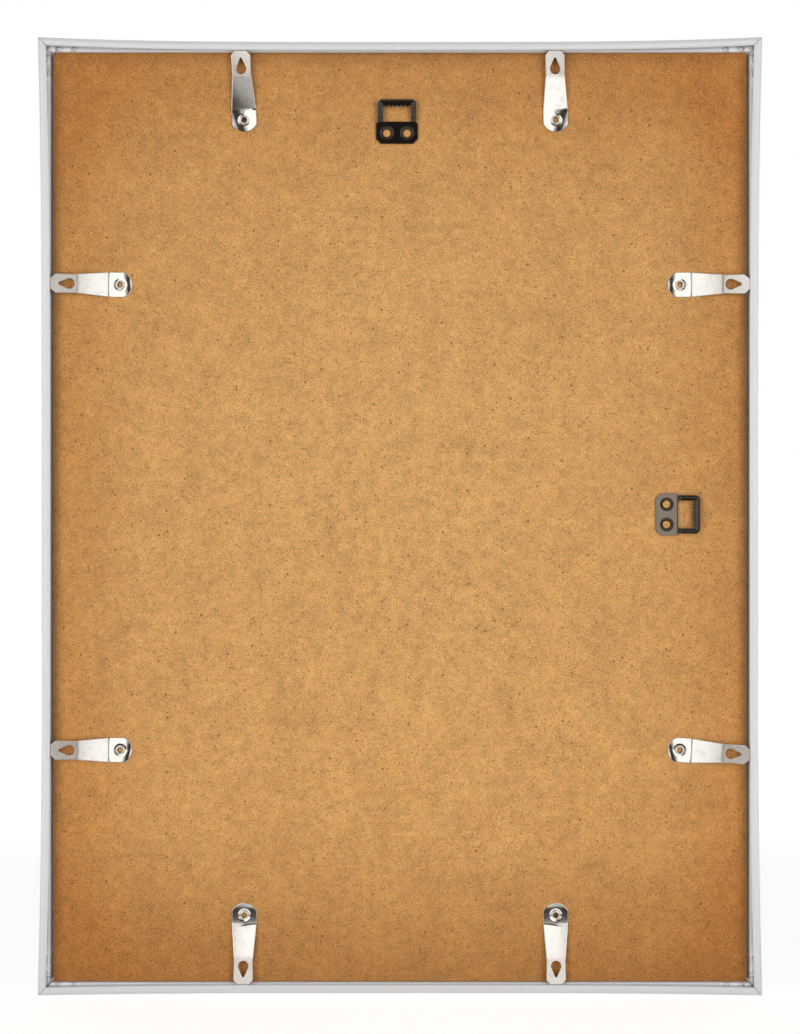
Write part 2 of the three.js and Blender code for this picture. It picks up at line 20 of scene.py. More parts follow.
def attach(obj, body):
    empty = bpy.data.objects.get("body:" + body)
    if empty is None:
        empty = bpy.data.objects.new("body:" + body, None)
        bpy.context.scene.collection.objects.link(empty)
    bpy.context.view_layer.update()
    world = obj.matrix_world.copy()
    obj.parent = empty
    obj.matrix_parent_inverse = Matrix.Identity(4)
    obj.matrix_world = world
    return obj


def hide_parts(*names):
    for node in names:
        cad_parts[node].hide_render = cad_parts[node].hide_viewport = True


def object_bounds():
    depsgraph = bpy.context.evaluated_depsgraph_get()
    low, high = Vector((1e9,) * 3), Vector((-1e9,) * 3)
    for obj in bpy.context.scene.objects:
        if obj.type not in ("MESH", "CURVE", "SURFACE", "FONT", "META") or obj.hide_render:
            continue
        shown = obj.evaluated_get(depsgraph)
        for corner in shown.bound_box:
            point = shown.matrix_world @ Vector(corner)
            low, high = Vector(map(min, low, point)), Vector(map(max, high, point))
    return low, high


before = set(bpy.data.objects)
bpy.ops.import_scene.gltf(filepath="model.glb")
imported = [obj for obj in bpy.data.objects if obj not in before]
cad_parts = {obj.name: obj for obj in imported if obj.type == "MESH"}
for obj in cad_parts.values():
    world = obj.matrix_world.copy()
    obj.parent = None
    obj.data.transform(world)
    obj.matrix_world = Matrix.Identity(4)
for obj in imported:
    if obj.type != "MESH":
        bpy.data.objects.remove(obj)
CAD_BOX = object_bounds()

LOG = logging.getLogger("picture_frame")
MM = 0.001
# share per point: burnish on the rails, a matt tongue on the clips, and painted reflection on the
# hanger plates
FINISH_AND_PAINTED_REFLECTION = "finish_share"
ROOT_BODY = "framed_back"
NOISE_ROUGHNESS = 0.55
SPECK_CORE = 0.45
SPECK_FADE = 0.6
ROUNDING_LIMIT = 0.48
MITRE_LIMIT = 0.35
MERGE_DISTANCE = 1e-5

Point = Tuple[float, float]
Triple = Tuple[float, float, float]
Colour = Tuple[float, float, float]
Loop = List[Point]
Operand = Union["Signal", float]


class Side(Enum):
    """A side of the frame, with the turn about Y in degrees that points a piece outward there."""

    TOP = 0.0
    RIGHT = 90.0
    BOTTOM = 180.0
    LEFT = -90.0


class Grain(Enum):
    """The axis that the fine lines of a drawn metal bar run along."""

    ALONG_X = 0
    ALONG_Z = 2


# Shader graphs


@dataclass(frozen=True)
class Signal:
    """A value socket whose arithmetic adds Math nodes to its graph."""

    graph: "Graph"
    socket: bpy.types.NodeSocket

    def __add__(self, other: Operand) -> "Signal":
        """The sum of two values."""
        return self.graph.math("ADD", self, other)

    def __radd__(self, other: Operand) -> "Signal":
        """The sum with a plain number on the left."""
        return self.graph.math("ADD", other, self)

    def __sub__(self, other: Operand) -> "Signal":
        """The difference of two values."""
        return self.graph.math("SUBTRACT", self, other)

    def __rsub__(self, other: Operand) -> "Signal":
        """The difference with a plain number on the left."""
        return self.graph.math("SUBTRACT", other, self)

    def __mul__(self, other: Operand) -> "Signal":
        """The product of two values."""
        return self.graph.math("MULTIPLY", self, other)

    def __rmul__(self, other: Operand) -> "Signal":
        """The product with a plain number on the left."""
        return self.graph.math("MULTIPLY", other, self)

    def __pow__(self, other: Operand) -> "Signal":
        """This value raised to a power."""
        return self.graph.math("POWER", self, other)

    def __abs__(self) -> "Signal":
        """This value without its sign."""
        return self.graph.math("ABSOLUTE", self, 0.0)

    def at_most(self, other: Operand) -> "Signal":
        """The smaller of two values."""
        return self.graph.math("MINIMUM", self, other)

    def at_least(self, other: Operand) -> "Signal":
        """The larger of two values."""
        return self.graph.math("MAXIMUM", self, other)

    def step(self, low: float, high: float) -> "Signal":
        """A smooth step from 0 to 1 between two values.

        Args:
            low: Value at which the step starts.
            high: Value at which it reaches 1; below low for a falling step.

        Returns:
            The step as a value.
        """
        ends = (low, high, 0.0, 1.0) if low < high else (high, low, 1.0, 0.0)
        names = ("From Min", "From Max", "To Min", "To Max")
        made = self.graph.node(
            "ShaderNodeMapRange",
            {"interpolation_type": "SMOOTHSTEP"},
            {"Value": self, **dict(zip(names, ends))},
        )
        return Signal(self.graph, made.outputs[0])


class Graph:
    """A node tree under construction."""

    def __init__(self, tree: bpy.types.NodeTree) -> None:
        """Takes over a node tree and empties it.

        Args:
            tree: The node tree of a material or of the world.
        """
        self.tree = tree
        self._place: Optional[bpy.types.NodeSocket] = None
        tree.nodes.clear()

    def node(
        self,
        kind: str,
        settings: Optional[Mapping[str, Any]] = None,
        inputs: Optional[Mapping[Union[str, int], Any]] = None,
    ) -> bpy.types.Node:
        """Adds one node.

        Args:
            kind: The node's type name.
            settings: Its properties, which are set before its sockets.
            inputs: Values, signals or output sockets by socket name, identifier or index.

        Returns:
            The new node.
        """
        made = self.tree.nodes.new(kind)
        for key, value in (settings or {}).items():
            setattr(made, key, value)
        for key, value in (inputs or {}).items():
            self._feed(self._find(made, key), value)
        return made

    @staticmethod
    def _find(node: bpy.types.Node, key: Union[str, int]) -> bpy.types.NodeSocket:
        """Looks up an input socket.

        Args:
            node: The node.
            key: The socket's index, identifier or name.

        Returns:
            The socket.
        """
        if isinstance(key, int):
            return node.inputs[key]
        named = [s for s in node.inputs if s.identifier == key]
        return named[0] if named else node.inputs[key]

    def _feed(self, socket: bpy.types.NodeSocket, value: Any) -> None:
        """Links an output to a socket, or sets the socket's own value.

        Args:
            socket: The input socket.
            value: A signal, an output socket, a number or a tuple.
        """
        if isinstance(value, Signal):
            self.tree.links.new(value.socket, socket)
        elif isinstance(value, bpy.types.NodeSocket):
            self.tree.links.new(value, socket)
        elif isinstance(value, tuple) and socket.type == "RGBA" and len(value) == 3:
            socket.default_value = (*value, 1.0)
        else:
            socket.default_value = value

    def math(self, operation: str, first: Operand, second: Operand) -> Signal:
        """A Math node on two values.

        Args:
            operation: The Math node's operation.
            first: Left value.
            second: Right value.

        Returns:
            The result as a value.
        """
        made = self.node("ShaderNodeMath", {"operation": operation}, {0: first, 1: second})
        return Signal(self, made.outputs[0])

    def place(self) -> bpy.types.NodeSocket:
        """The piece's own coordinates, from one node for the whole graph.

        Returns:
            The vector socket, in metres.
        """
        if self._place is None:
            self._place = self.node("ShaderNodeTexCoord").outputs["Object"]
        return self._place

    def axes(self) -> Tuple[Signal, ...]:
        """The three coordinates of a place on the piece, as values."""
        parts = self.node("ShaderNodeSeparateXYZ", None, {"Vector": self.place()}).outputs
        return tuple(Signal(self, part) for part in parts)

    def attribute(self, name: str) -> Signal:
        """A value stored on the points of the mesh, zero where a mesh has none."""
        made = self.node("ShaderNodeAttribute", {"attribute_name": name})
        return Signal(self, made.outputs["Fac"])

    def noise(
        self,
        size: float,
        detail: float = 2.0,
        stretch: Triple = (1.0, 1.0, 1.0),
        turn: float = 0.0,
    ) -> Signal:
        """Soft noise over the piece, around 0.5.

        Args:
            size: Size of one blotch, in millimetres.
            detail: Octaves of finer noise.
            stretch: How much longer a blotch is along each axis.
            turn: Turn of the whole pattern about Y, in degrees.

        Returns:
            The noise as a value.
        """
        scale = tuple(1.0 / (size * MM * length) for length in stretch)
        turned = self.node(
            "ShaderNodeMapping",
            {"vector_type": "POINT"},
            {"Vector": self.place(), "Rotation": (0.0, math.radians(turn), 0.0)},
        )
        sized = self.node(
            "ShaderNodeVectorMath", {"operation": "MULTIPLY"}, {0: turned.outputs[0], 1: scale}
        )
        inputs = {"Vector": sized.outputs[0], "Scale": 1.0, "Detail": detail}
        inputs["Roughness"] = NOISE_ROUGHNESS
        made = self.node("ShaderNodeTexNoise", {"noise_dimensions": "3D"}, inputs)
        return Signal(self, made.outputs[0])

    def specks(self, size: float, share: float, radius: float) -> Signal:
        """Small scattered specks, 1 inside a speck and 0 elsewhere.

        Args:
            size: Spacing of the places where a speck may lie, in millimetres.
            share: Share of those places that hold one.
            radius: Radius of a speck, as a share of the spacing.

        Returns:
            The mask as a value.
        """
        made = self.node(
            "ShaderNodeTexVoronoi",
            {"voronoi_dimensions": "3D", "feature": "F1"},
            {"Vector": self.place(), "Scale": 1.0 / (size * MM)},
        )
        chance = self.node("ShaderNodeSeparateColor", None, {0: made.outputs["Color"]}).outputs[0]
        within = Signal(self, made.outputs["Distance"]).step(radius, radius * SPECK_CORE)
        return within * Signal(self, chance).step(1.0 - share, 1.0 - share * SPECK_FADE)

    def blend(self, factor: Operand, first: Any, second: Any) -> bpy.types.NodeSocket:
        """A colour between two colours.

        Args:
            factor: 0 for the first, 1 for the second.
            first: A colour or a colour socket.
            second: A colour or a colour socket.

        Returns:
            The colour socket.
        """
        inputs = {"Factor_Float": factor, "A_Color": first, "B_Color": second}
        return self.node("ShaderNodeMix", {"data_type": "RGBA"}, inputs).outputs[2]

    def tint(self, colour: Any, amount: Signal) -> bpy.types.NodeSocket:
        """A colour made lighter or darker by a value around 1."""
        inputs = {0: colour, "Scale": amount}
        return self.node("ShaderNodeVectorMath", {"operation": "SCALE"}, inputs).outputs[0]

    def bump(self, height: Signal, depth: float, strength: float = 1.0) -> bpy.types.NodeSocket:
        """A bumped normal.

        Args:
            height: Height of the surface, from 0 to 1.
            depth: Height of a full step, in millimetres.
            strength: Share of the bump that shows.

        Returns:
            The normal's socket.
        """
        inputs = {"Strength": strength, "Distance": depth * MM, "Height": height}
        return self.node("ShaderNodeBump", None, inputs).outputs[0]

    def surface(self, inputs: Mapping[Union[str, int], Any]) -> None:
        """Ends a material with one principled surface that has these inputs."""
        shader = self.node("ShaderNodeBsdfPrincipled", None, inputs)
        self.node("ShaderNodeOutputMaterial", None, {"Surface": shader.outputs[0]})


def new_material(name: str) -> Tuple[bpy.types.Material, Graph]:
    """Makes an empty node material.

    Args:
        name: Name of the material.

    Returns:
        The material, and the graph to fill it with.
    """
    material = bpy.data.materials.new(name)
    material.use_nodes = True
    return material, Graph(material.node_tree)


# Finishes: sizes are in millimetres, and spans are the noise levels between which a mark fades in


@dataclass(frozen=True)
class SatinAluminium:
    """Drawn aluminium, anodised nearly matt, with lines along the bar, and bare where punched."""

    grain: Grain
    colour: Colour = (0.735, 0.755, 0.782)
    worn: Colour = (0.680, 0.700, 0.725)
    bare: Colour = (0.865, 0.885, 0.910)
    metallic: float = 0.35
    roughness: float = 0.39
    line_length: float = 60.0
    line_width: float = 0.16
    line_depth: float = 0.004
    cloud_size: float = 22.0
    rub_size: float = 2.4
    rub_span: Point = (0.58, 0.72)

    def material(self) -> bpy.types.Material:
        """Builds the finish for one direction of the lines.

        Returns:
            The material.
        """
        material, graph = new_material(f"satin_aluminium_{self.grain.name.lower()}")
        ratio = self.line_length / self.line_width
        stretch = tuple(ratio if axis == self.grain.value else 1.0 for axis in range(3))
        lines = graph.noise(self.line_width, 3.0, stretch)
        cloud = graph.noise(self.cloud_size, 3.0)
        rubbed = graph.noise(self.rub_size, 4.0).step(*self.rub_span)
        shade = cloud * 0.35 + lines * 0.35 + rubbed * 0.25
        burnish = graph.attribute(FINISH_AND_PAINTED_REFLECTION)
        skin = graph.blend(shade, self.colour, self.worn)
        uneven = lines * 0.10 + cloud * 0.06 - rubbed * 0.05 - burnish * 0.22
        graph.surface(
            {
                "Base Color": graph.blend(burnish, skin, self.bare),
                "Metallic": self.metallic + burnish * (1.0 - self.metallic),
                "Roughness": self.roughness + uneven,
                "Normal": graph.bump(lines, self.line_depth),
            }
        )
        return material


@dataclass(frozen=True)
class NickelPlate:
    """Bright nickel on spring steel: rippled, with rolling grain, stains and small scratches."""

    colour: Colour = (0.770, 0.752, 0.718)
    stain: Colour = (0.565, 0.532, 0.480)
    roughness: float = 0.05
    relief: float = 0.0038
    ripple_size: float = 2.6
    grain_size: float = 0.22
    grain_span: Point = (0.52, 0.75)
    cloud_size: float = 3.2
    cloud_span: Point = (0.50, 0.74)
    scratch_width: float = 0.10
    scratch_ratio: float = 60.0
    upright_turn: float = 24.0
    upright_span: Point = (0.68, 0.78)
    level_turn: float = -13.0
    level_span: Point = (0.69, 0.78)

    def material(self) -> bpy.types.Material:
        """Builds the finish.

        Returns:
            The material.
        """
        material, graph = new_material("nickel_plate")
        ripple = graph.noise(self.ripple_size, 2.0)
        grain = graph.noise(self.grain_size, 3.0)
        cloud = graph.noise(self.cloud_size, 4.0)
        width, ratio = self.scratch_width, self.scratch_ratio
        upright = graph.noise(width, 1.0, (1.0, 1.0, ratio), self.upright_turn)
        level = graph.noise(width, 1.0, (ratio, 1.0, 1.0), self.level_turn)
        marks = upright.step(*self.upright_span).at_least(level.step(*self.level_span))
        satin = graph.attribute(FINISH_AND_PAINTED_REFLECTION)
        spots = grain.step(*self.grain_span) * (0.12 + satin * 0.5)
        stained = cloud.step(*self.cloud_span) * 0.35 + spots + satin * 0.5
        uneven = cloud * 0.03 + grain * 0.03 + marks * 0.10 + satin * 0.24
        height = ripple * 0.8 + grain * 0.03 - marks * 0.06
        graph.surface(
            {
                "Base Color": graph.blend(stained.at_most(1.0), self.colour, self.stain),
                "Metallic": 1.0,
                "Roughness": self.roughness + uneven,
                "Normal": graph.bump(height, self.relief),
            }
        )
        return material


@dataclass(frozen=True)
class BlackEnamel:
    """Stove-enamelled black steel: glossy, with a fine orange peel, and greyed by a painted
    reflection where the mesh's share asks for it.
    """

    colour: Colour = (0.0050, 0.0042, 0.0036)
    rubbed: Colour = (0.022, 0.018, 0.014)
    # painted reflection: a grey-brown standing in for bright surroundings and the board mirrored
    # in a flat plate
    painted_reflection: Colour = (0.182, 0.150, 0.123)
    gloss_tint: Colour = (1.0, 0.80, 0.62)
    roughness: float = 0.11
    coat: float = 0.35
    coat_roughness: float = 0.10
    peel_size: float = 0.55
    peel_depth: float = 0.003
    cloud_size: float = 2.2
    cloud_span: Point = (0.56, 0.76)
    dust: Triple = (0.8, 0.16, 0.22)

    def material(self) -> bpy.types.Material:
        """Builds the finish.

        Returns:
            The material.
        """
        material, graph = new_material("black_enamel")
        peel = graph.noise(self.peel_size, 2.0)
        cloud = graph.noise(self.cloud_size, 3.0)
        dust = graph.specks(*self.dust)
        rubbed = cloud.step(*self.cloud_span) * 0.40 + dust * 0.3
        # painted reflection: the mesh's share turns the colour towards the painted reflection
        # grey; the same share also roughens the enamel
        dull = graph.attribute(FINISH_AND_PAINTED_REFLECTION) * (0.75 + cloud * 0.5)
        black = graph.blend(rubbed, self.colour, self.rubbed)
        graph.surface(
            {
                "Base Color": graph.blend(dull.at_most(1.0), black, self.painted_reflection),
                "Metallic": 0.0,
                "Roughness": self.roughness + cloud * 0.05 + dust * 0.15 + dull * 0.20,
                "IOR": 1.5,
                "Specular Tint": self.gloss_tint,
                "Coat Weight": self.coat,
                "Coat Roughness": self.coat_roughness,
                "Coat IOR": 1.6,
                "Normal": graph.bump(peel, self.peel_depth),
            }
        )
        return material


@dataclass(frozen=True)
class Hardboard:
    """Pressed wood fibre: warm tan with fine fibres, clouds and flecks, and painted light: a paler
    middle, deeper edges and shadow beside the rails.
    """

    half_width: float
    half_height: float
    # pale carries painted sheen towards the middle, deep carries painted falloff towards the edges
    pale: Colour = (0.660, 0.365, 0.128)
    deep: Colour = (0.480, 0.196, 0.046)
    fleck: Colour = (0.120, 0.045, 0.012)
    fibre: Colour = (0.800, 0.500, 0.225)
    roughness: float = 0.58
    gloss: float = 0.16
    relief: float = 0.05
    side_band: float = 42.0
    end_band: float = 70.0
    # painted shadow: widths of the bands beside the side rails and the top rail that are darkened
    # as if shaded
    side_shadow: float = 6.0
    top_shadow: float = 9.0
    drift_size: float = 70.0
    patch_size: float = 19.0
    cloud_size: float = 4.5
    grain_size: float = 0.34
    fibre_stretch: Triple = (1.0, 1.0, 7.0)
    rising_turn: float = 31.0
    rising_span: Point = (0.66, 0.80)
    falling_turn: float = -52.0
    falling_span: Point = (0.67, 0.80)
    small_flecks: Triple = (1.3, 0.27, 0.32)
    large_flecks: Triple = (3.7, 0.28, 0.18)

    def ground_and_painted_sheen(self, graph: Graph, across: Signal, up: Signal) -> bpy.types.NodeSocket:
        """Painted sheen and falloff: the board paler in the middle and deeper towards the edges,
        with a slow random drift.

        Args:
            graph: The material's graph.
            across: The place sideways, in metres.
            up: The place upward, in metres.

        Returns:
            The colour socket.
        """
        sides = self.band(abs(across), self.half_width, self.side_band)
        ends = self.band(abs(up), self.half_height, self.end_band)
        drift = graph.noise(self.drift_size, 2.0) - 0.5
        sideways = across * (1.0 / (self.half_width * MM))
        upward = up * (1.0 / (self.half_height * MM))
        away = sideways**2.0 + upward**2.0
        # painted light: the distance from the middle and the side and end bands darken the board
        # towards its edges; only the drift is the board's own
        edge = away * 0.36 + sides * 0.30 + ends * 0.33 + drift * 0.30
        return graph.blend(edge.at_least(0.0).at_most(1.0), self.pale, self.deep)

    @staticmethod
    def band(place: Signal, half: float, width: float) -> Signal:
        """A step over a band of this width along an edge of the board."""
        return place.step((half - width) * MM, half * MM)

    def fibres(self, graph: Graph) -> Signal:
        """Pale fibres that lie two ways over the board.

        Args:
            graph: The material's graph.

        Returns:
            1 on a fibre and 0 elsewhere.
        """
        size, stretch = self.grain_size, self.fibre_stretch
        rising = graph.noise(size, 1.0, stretch, self.rising_turn).step(*self.rising_span)
        falling = graph.noise(size, 1.0, stretch, self.falling_turn).step(*self.falling_span)
        return rising.at_least(falling)

    def material(self) -> bpy.types.Material:
        """Builds the finish.

        Returns:
            The material.
        """
        material, graph = new_material("hardboard")
        across, _, up = graph.axes()
        ground_and_painted_sheen = self.ground_and_painted_sheen(graph, across, up)
        # painted shadow: darker bands on the board beside the side rails and the top rail, where
        # their shade falls
        side = self.band(abs(across), self.half_width, self.side_shadow) * 0.30
        rim = side.at_least(self.band(up, self.half_height, self.top_shadow) * 0.26)
        grain = graph.noise(self.grain_size, 2.0) - 0.5
        cloud = graph.noise(self.cloud_size, 3.0) - 0.5
        patch = graph.noise(self.patch_size, 2.0) - 0.5
        shade = (1.0 + grain * 1.8 + cloud * 0.55 + patch * 0.34) * (1.0 - rim)
        fibres = self.fibres(graph)
        flecks = graph.specks(*self.small_flecks).at_least(graph.specks(*self.large_flecks))
        fibred = graph.blend(fibres * 0.42, graph.tint(ground_and_painted_sheen, shade), self.fibre)
        height = grain * 0.7 + fibres * 0.5 - flecks * 0.6
        graph.surface(
            {
                "Base Color": graph.blend(flecks * 0.72, fibred, self.fleck),
                "Metallic": 0.0,
                "Roughness": self.roughness + grain * 0.25 + flecks * 0.15,
                "Specular IOR Level": self.gloss,
                "Normal": graph.bump(height, self.relief, 0.5),
            }
        )
        return material


@dataclass(frozen=True)
class ClearGlass:
    """Float glass with a faint green edge and a trace of dust."""

    colour: Colour = (0.955, 0.985, 0.970)
    dust_colour: Colour = (0.80, 0.80, 0.78)
    roughness: float = 0.012
    smear_size: float = 45.0
    smear_span: Point = (0.52, 0.80)
    dust: Triple = (2.6, 0.10, 0.10)

    def material(self) -> bpy.types.Material:
        """Builds the finish.

        Returns:
            The material.
        """
        material, graph = new_material("clear_glass")
        smear = graph.noise(self.smear_size, 3.0).step(*self.smear_span)
        dust = graph.specks(*self.dust)
        graph.surface(
            {
                "Base Color": graph.blend(dust * 0.35, self.colour, self.dust_colour),
                "Metallic": 0.0,
                "Roughness": self.roughness + smear * 0.035 + dust * 0.25,
                "IOR": 1.52,
                "Transmission Weight": 1.0,
            }
        )
        return material


@dataclass(frozen=True)
class BlankPaper:
    """Uncoated off-white paper with soft fibre clouds."""

    colour: Colour = (0.86, 0.84, 0.79)
    cloud: Colour = (0.80, 0.775, 0.72)
    roughness: float = 0.86
    relief: float = 0.02
    cloud_size: float = 5.0
    tooth_size: float = 0.25

    def material(self) -> bpy.types.Material:
        """Builds the finish.

        Returns:
            The material.
        """
        material, graph = new_material("blank_paper")
        clouds = graph.noise(self.cloud_size, 4.0)
        tooth = graph.noise(self.tooth_size, 3.0)
        graph.surface(
            {
                "Base Color": graph.blend(clouds * 0.7 + tooth * 0.25, self.colour, self.cloud),
                "Metallic": 0.0,
                "Roughness": self.roughness + tooth * 0.1,
                "Normal": graph.bump(tooth, self.relief, 0.6),
            }
        )
        return material


@dataclass(frozen=True)
class ZincSteel:
    """Zinc-plated steel with the spangle and grey bloom of a hidden fitting."""

    bright: Colour = (0.62, 0.63, 0.65)
    dull: Colour = (0.42, 0.425, 0.43)
    roughness: float = 0.34
    relief: float = 0.01
    spangle_size: float = 1.6
    bloom_size: float = 6.0
    bloom_span: Point = (0.46, 0.70)

    def material(self) -> bpy.types.Material:
        """Builds the finish.

        Returns:
            The material.
        """
        material, graph = new_material("zinc_steel")
        spangle = graph.noise(self.spangle_size, 3.0)
        bloom = graph.noise(self.bloom_size, 4.0).step(*self.bloom_span)
        graph.surface(
            {
                "Base Color": graph.blend(bloom * 0.7 + spangle * 0.3, self.bright, self.dull),
                "Metallic": 1.0,
                "Roughness": self.roughness + bloom * 0.22 + spangle * 0.08,
                "Normal": graph.bump(spangle, self.relief),
            }
        )
        return material


# Plans and meshes


def clamped(value: float) -> float:
    """A value held between 0 and 1."""
    return max(0.0, min(1.0, value))


def eased(share: float) -> float:
    """A share from 0 to 1 that starts and ends softly."""
    return share * share * (3 - 2 * share)


def sides_of(loop: Sequence[Point]) -> List[Tuple[Point, Point]]:
    """The stretches of a closed loop, each from one point to the next."""
    return list(zip(loop, [*loop[1:], loop[0]]))


def area_of(loop: Sequence[Point]) -> float:
    """Signed area of a closed loop, positive when it runs anticlockwise."""
    return sum(a[0] * b[1] - b[0] * a[1] for a, b in sides_of(loop)) / 2


def arc(centre: Point, radius: float, start: float, end: float, steps: int) -> Loop:
    """Points along an arc.

    Args:
        centre: Centre of the arc.
        radius: Its radius.
        start: Angle of the first point, in degrees.
        end: Angle of the last point, in degrees.
        steps: Number of stretches between them.

    Returns:
        The points, both ends among them.
    """
    angles = [math.radians(start + (end - start) * i / steps) for i in range(steps + 1)]
    return [(centre[0] + radius * math.cos(a), centre[1] + radius * math.sin(a)) for a in angles]


def circle(centre: Point, radius: float, count: int) -> Loop:
    """A number of points evenly round a circle."""
    return arc(centre, radius, 0, 360 - 360 / count, count - 1)


def symmetric(side: Sequence[Point], radii: Sequence[float]) -> List[Triple]:
    """Corners on both sides of a plan.

    Args:
        side: The corners on the right.
        radii: The radius of each.

    Returns:
        The corners as (x, y, radius), up the right side and down the left.
    """
    right = [(x, y, radius) for (x, y), radius in zip(side, radii)]
    return right + [(-x, y, radius) for x, y, radius in reversed(right)]


def rounded(corners: Sequence[Triple], steps: int = 4) -> Loop:
    """A closed loop through corners, each rounded off.

    Args:
        corners: The corners as (x, y, radius), where 0 keeps a corner sharp.
        steps: Stretches in each rounding.

    Returns:
        The loop's points.
    """
    loop = []
    count = len(corners)
    for i, (x, y, radius) in enumerate(corners):
        if radius <= 0:
            loop.append((x, y))
            continue
        here = Vector((x, y))
        before = Vector(corners[i - 1][:2]) - here
        after = Vector(corners[(i + 1) % count][:2]) - here
        room = min(before.length * ROUNDING_LIMIT, after.length * ROUNDING_LIMIT)
        reach = min(radius / math.tan(before.angle(after) / 2), room)
        start = here + before.normalized() * reach
        end = here + after.normalized() * reach
        for k in range(steps + 1):
            t = k / steps
            point = start * (1 - t) ** 2 + here * (2 * t * (1 - t)) + end * t**2
            loop.append((point.x, point.y))
    return loop


def refined(loop: Sequence[Point], spacing: float) -> Loop:
    """A loop with its long stretches divided.

    Args:
        loop: The closed loop.
        spacing: The longest stretch that may stay.

    Returns:
        The points of the finer loop.
    """
    dense = []
    for a, b in sides_of(loop):
        parts = max(1, math.ceil(math.dist(a, b) / spacing))
        run, climb = (b[0] - a[0]) / parts, (b[1] - a[1]) / parts
        dense += [(a[0] + run * k, a[1] + climb * k) for k in range(parts)]
    return dense


def offset(loop: Sequence[Point], distance: float) -> Loop:
    """A loop moved to the left of its own direction, with mitred corners.

    Args:
        loop: The closed loop.
        distance: How far it moves.

    Returns:
        The moved points, one for each point of the loop.
    """
    moved = []
    for i, here in enumerate(loop):
        before = Vector(here) - Vector(loop[i - 1])
        after = Vector(loop[(i + 1) % len(loop)]) - Vector(here)
        first = Vector((-before.y, before.x)).normalized()
        second = Vector((-after.y, after.x)).normalized()
        shift = (first + second) * (distance / max(MITRE_LIMIT, 1.0 + first.dot(second)))
        moved.append((here[0] + shift.x, here[1] + shift.y))
    return moved


def inside(point: Sequence[float], loop: Sequence[Point]) -> bool:
    """Tells whether a point lies inside a closed loop.

    Args:
        point: The point.
        loop: The closed loop.

    Returns:
        True where it does.
    """
    x, y = point
    crossings = 0
    for (ax, ay), (bx, by) in sides_of(loop):
        if (ay > y) != (by > y) and x < ax + (y - ay) / (by - ay) * (bx - ax):
            crossings += 1
    return crossings % 2 == 1


def to_scene(name: str, data: bpy.types.ID) -> bpy.types.Object:
    """Makes an object of a mesh, a lamp or a camera and links it to the scene.

    Args:
        name: Name of the object.
        data: What it shows.

    Returns:
        The object.
    """
    made = bpy.data.objects.new(name, data)
    bpy.context.scene.collection.objects.link(made)
    return made


@dataclass
class Surface:
    """Points in millimetres, the faces between them, and each point's share of a second look."""

    points: List[Triple] = field(default_factory=list)
    faces: List[Tuple[int, ...]] = field(default_factory=list)
    shares: List[float] = field(default_factory=list)

    def add_points(self, points: Sequence[Triple]) -> List[int]:
        """Adds points.

        Args:
            points: The points.

        Returns:
            Their indices.
        """
        start = len(self.points)
        self.points += points
        return list(range(start, len(self.points)))

    def add_rings(self, rings: Sequence[Sequence[int]], closed: bool = False) -> None:
        """Joins rings of points, each to the next, by quads.

        Args:
            rings: Rings of equal length, as indices of points.
            closed: True to join the last ring to the first as well.
        """
        pairs = list(zip(rings, rings[1:]))
        if closed:
            pairs.append((rings[-1], rings[0]))
        for upper, lower in pairs:
            for i, here in enumerate(upper):
                after = (i + 1) % len(upper)
                self.faces.append((here, lower[i], lower[after], upper[after]))

    def object(self, name: str, place: Matrix, sharp: float) -> bpy.types.Object:
        """Makes the mesh object, in the frame's own coordinates.

        Args:
            name: Name of the object.
            place: Where the drawing's origin and axes go, in millimetres.
            sharp: Angle in degrees above which an edge stays crisp.

        Returns:
            The object, linked to the scene.
        """
        mesh = bpy.data.meshes.new(name)
        mesh.from_pydata([(place @ Vector(p)) * MM for p in self.points], [], self.faces)
        work = bmesh.new()
        work.from_mesh(mesh)
        bmesh.ops.recalc_face_normals(work, faces=work.faces[:])
        for face in work.faces:
            face.smooth = True
        for edge in work.edges:
            edge.smooth = edge.calc_face_angle(0.0) < math.radians(sharp)
        work.to_mesh(mesh)
        work.free()
        if self.shares:
            mesh.attributes.new(FINISH_AND_PAINTED_REFLECTION, "FLOAT", "POINT").data.foreach_set("value", self.shares)
        return to_scene(name, mesh)


def add_piece(
    made: bpy.types.Object,
    finish: bpy.types.Material,
    node: str,
    body: str = ROOT_BODY,
) -> None:
    """Dresses a piece, lets it stand for its CAD node and sets it on its body.

    Args:
        made: The piece's object.
        finish: Its material.
        node: The CAD node that it stands for.
        body: The CAD body that it moves with.
    """
    made.data.materials.append(finish)
    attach(made, body)
    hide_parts(node)
    LOG.info("%s: %d faces, moves with %s", made.name, len(made.data.polygons), body)


@dataclass
class Rim:
    """One edge loop of a formed sheet, and the section that its edge follows downward.

    The section is a list of (distance into the sheet, height above the underside).
    """

    loop: Loop
    section: Loop


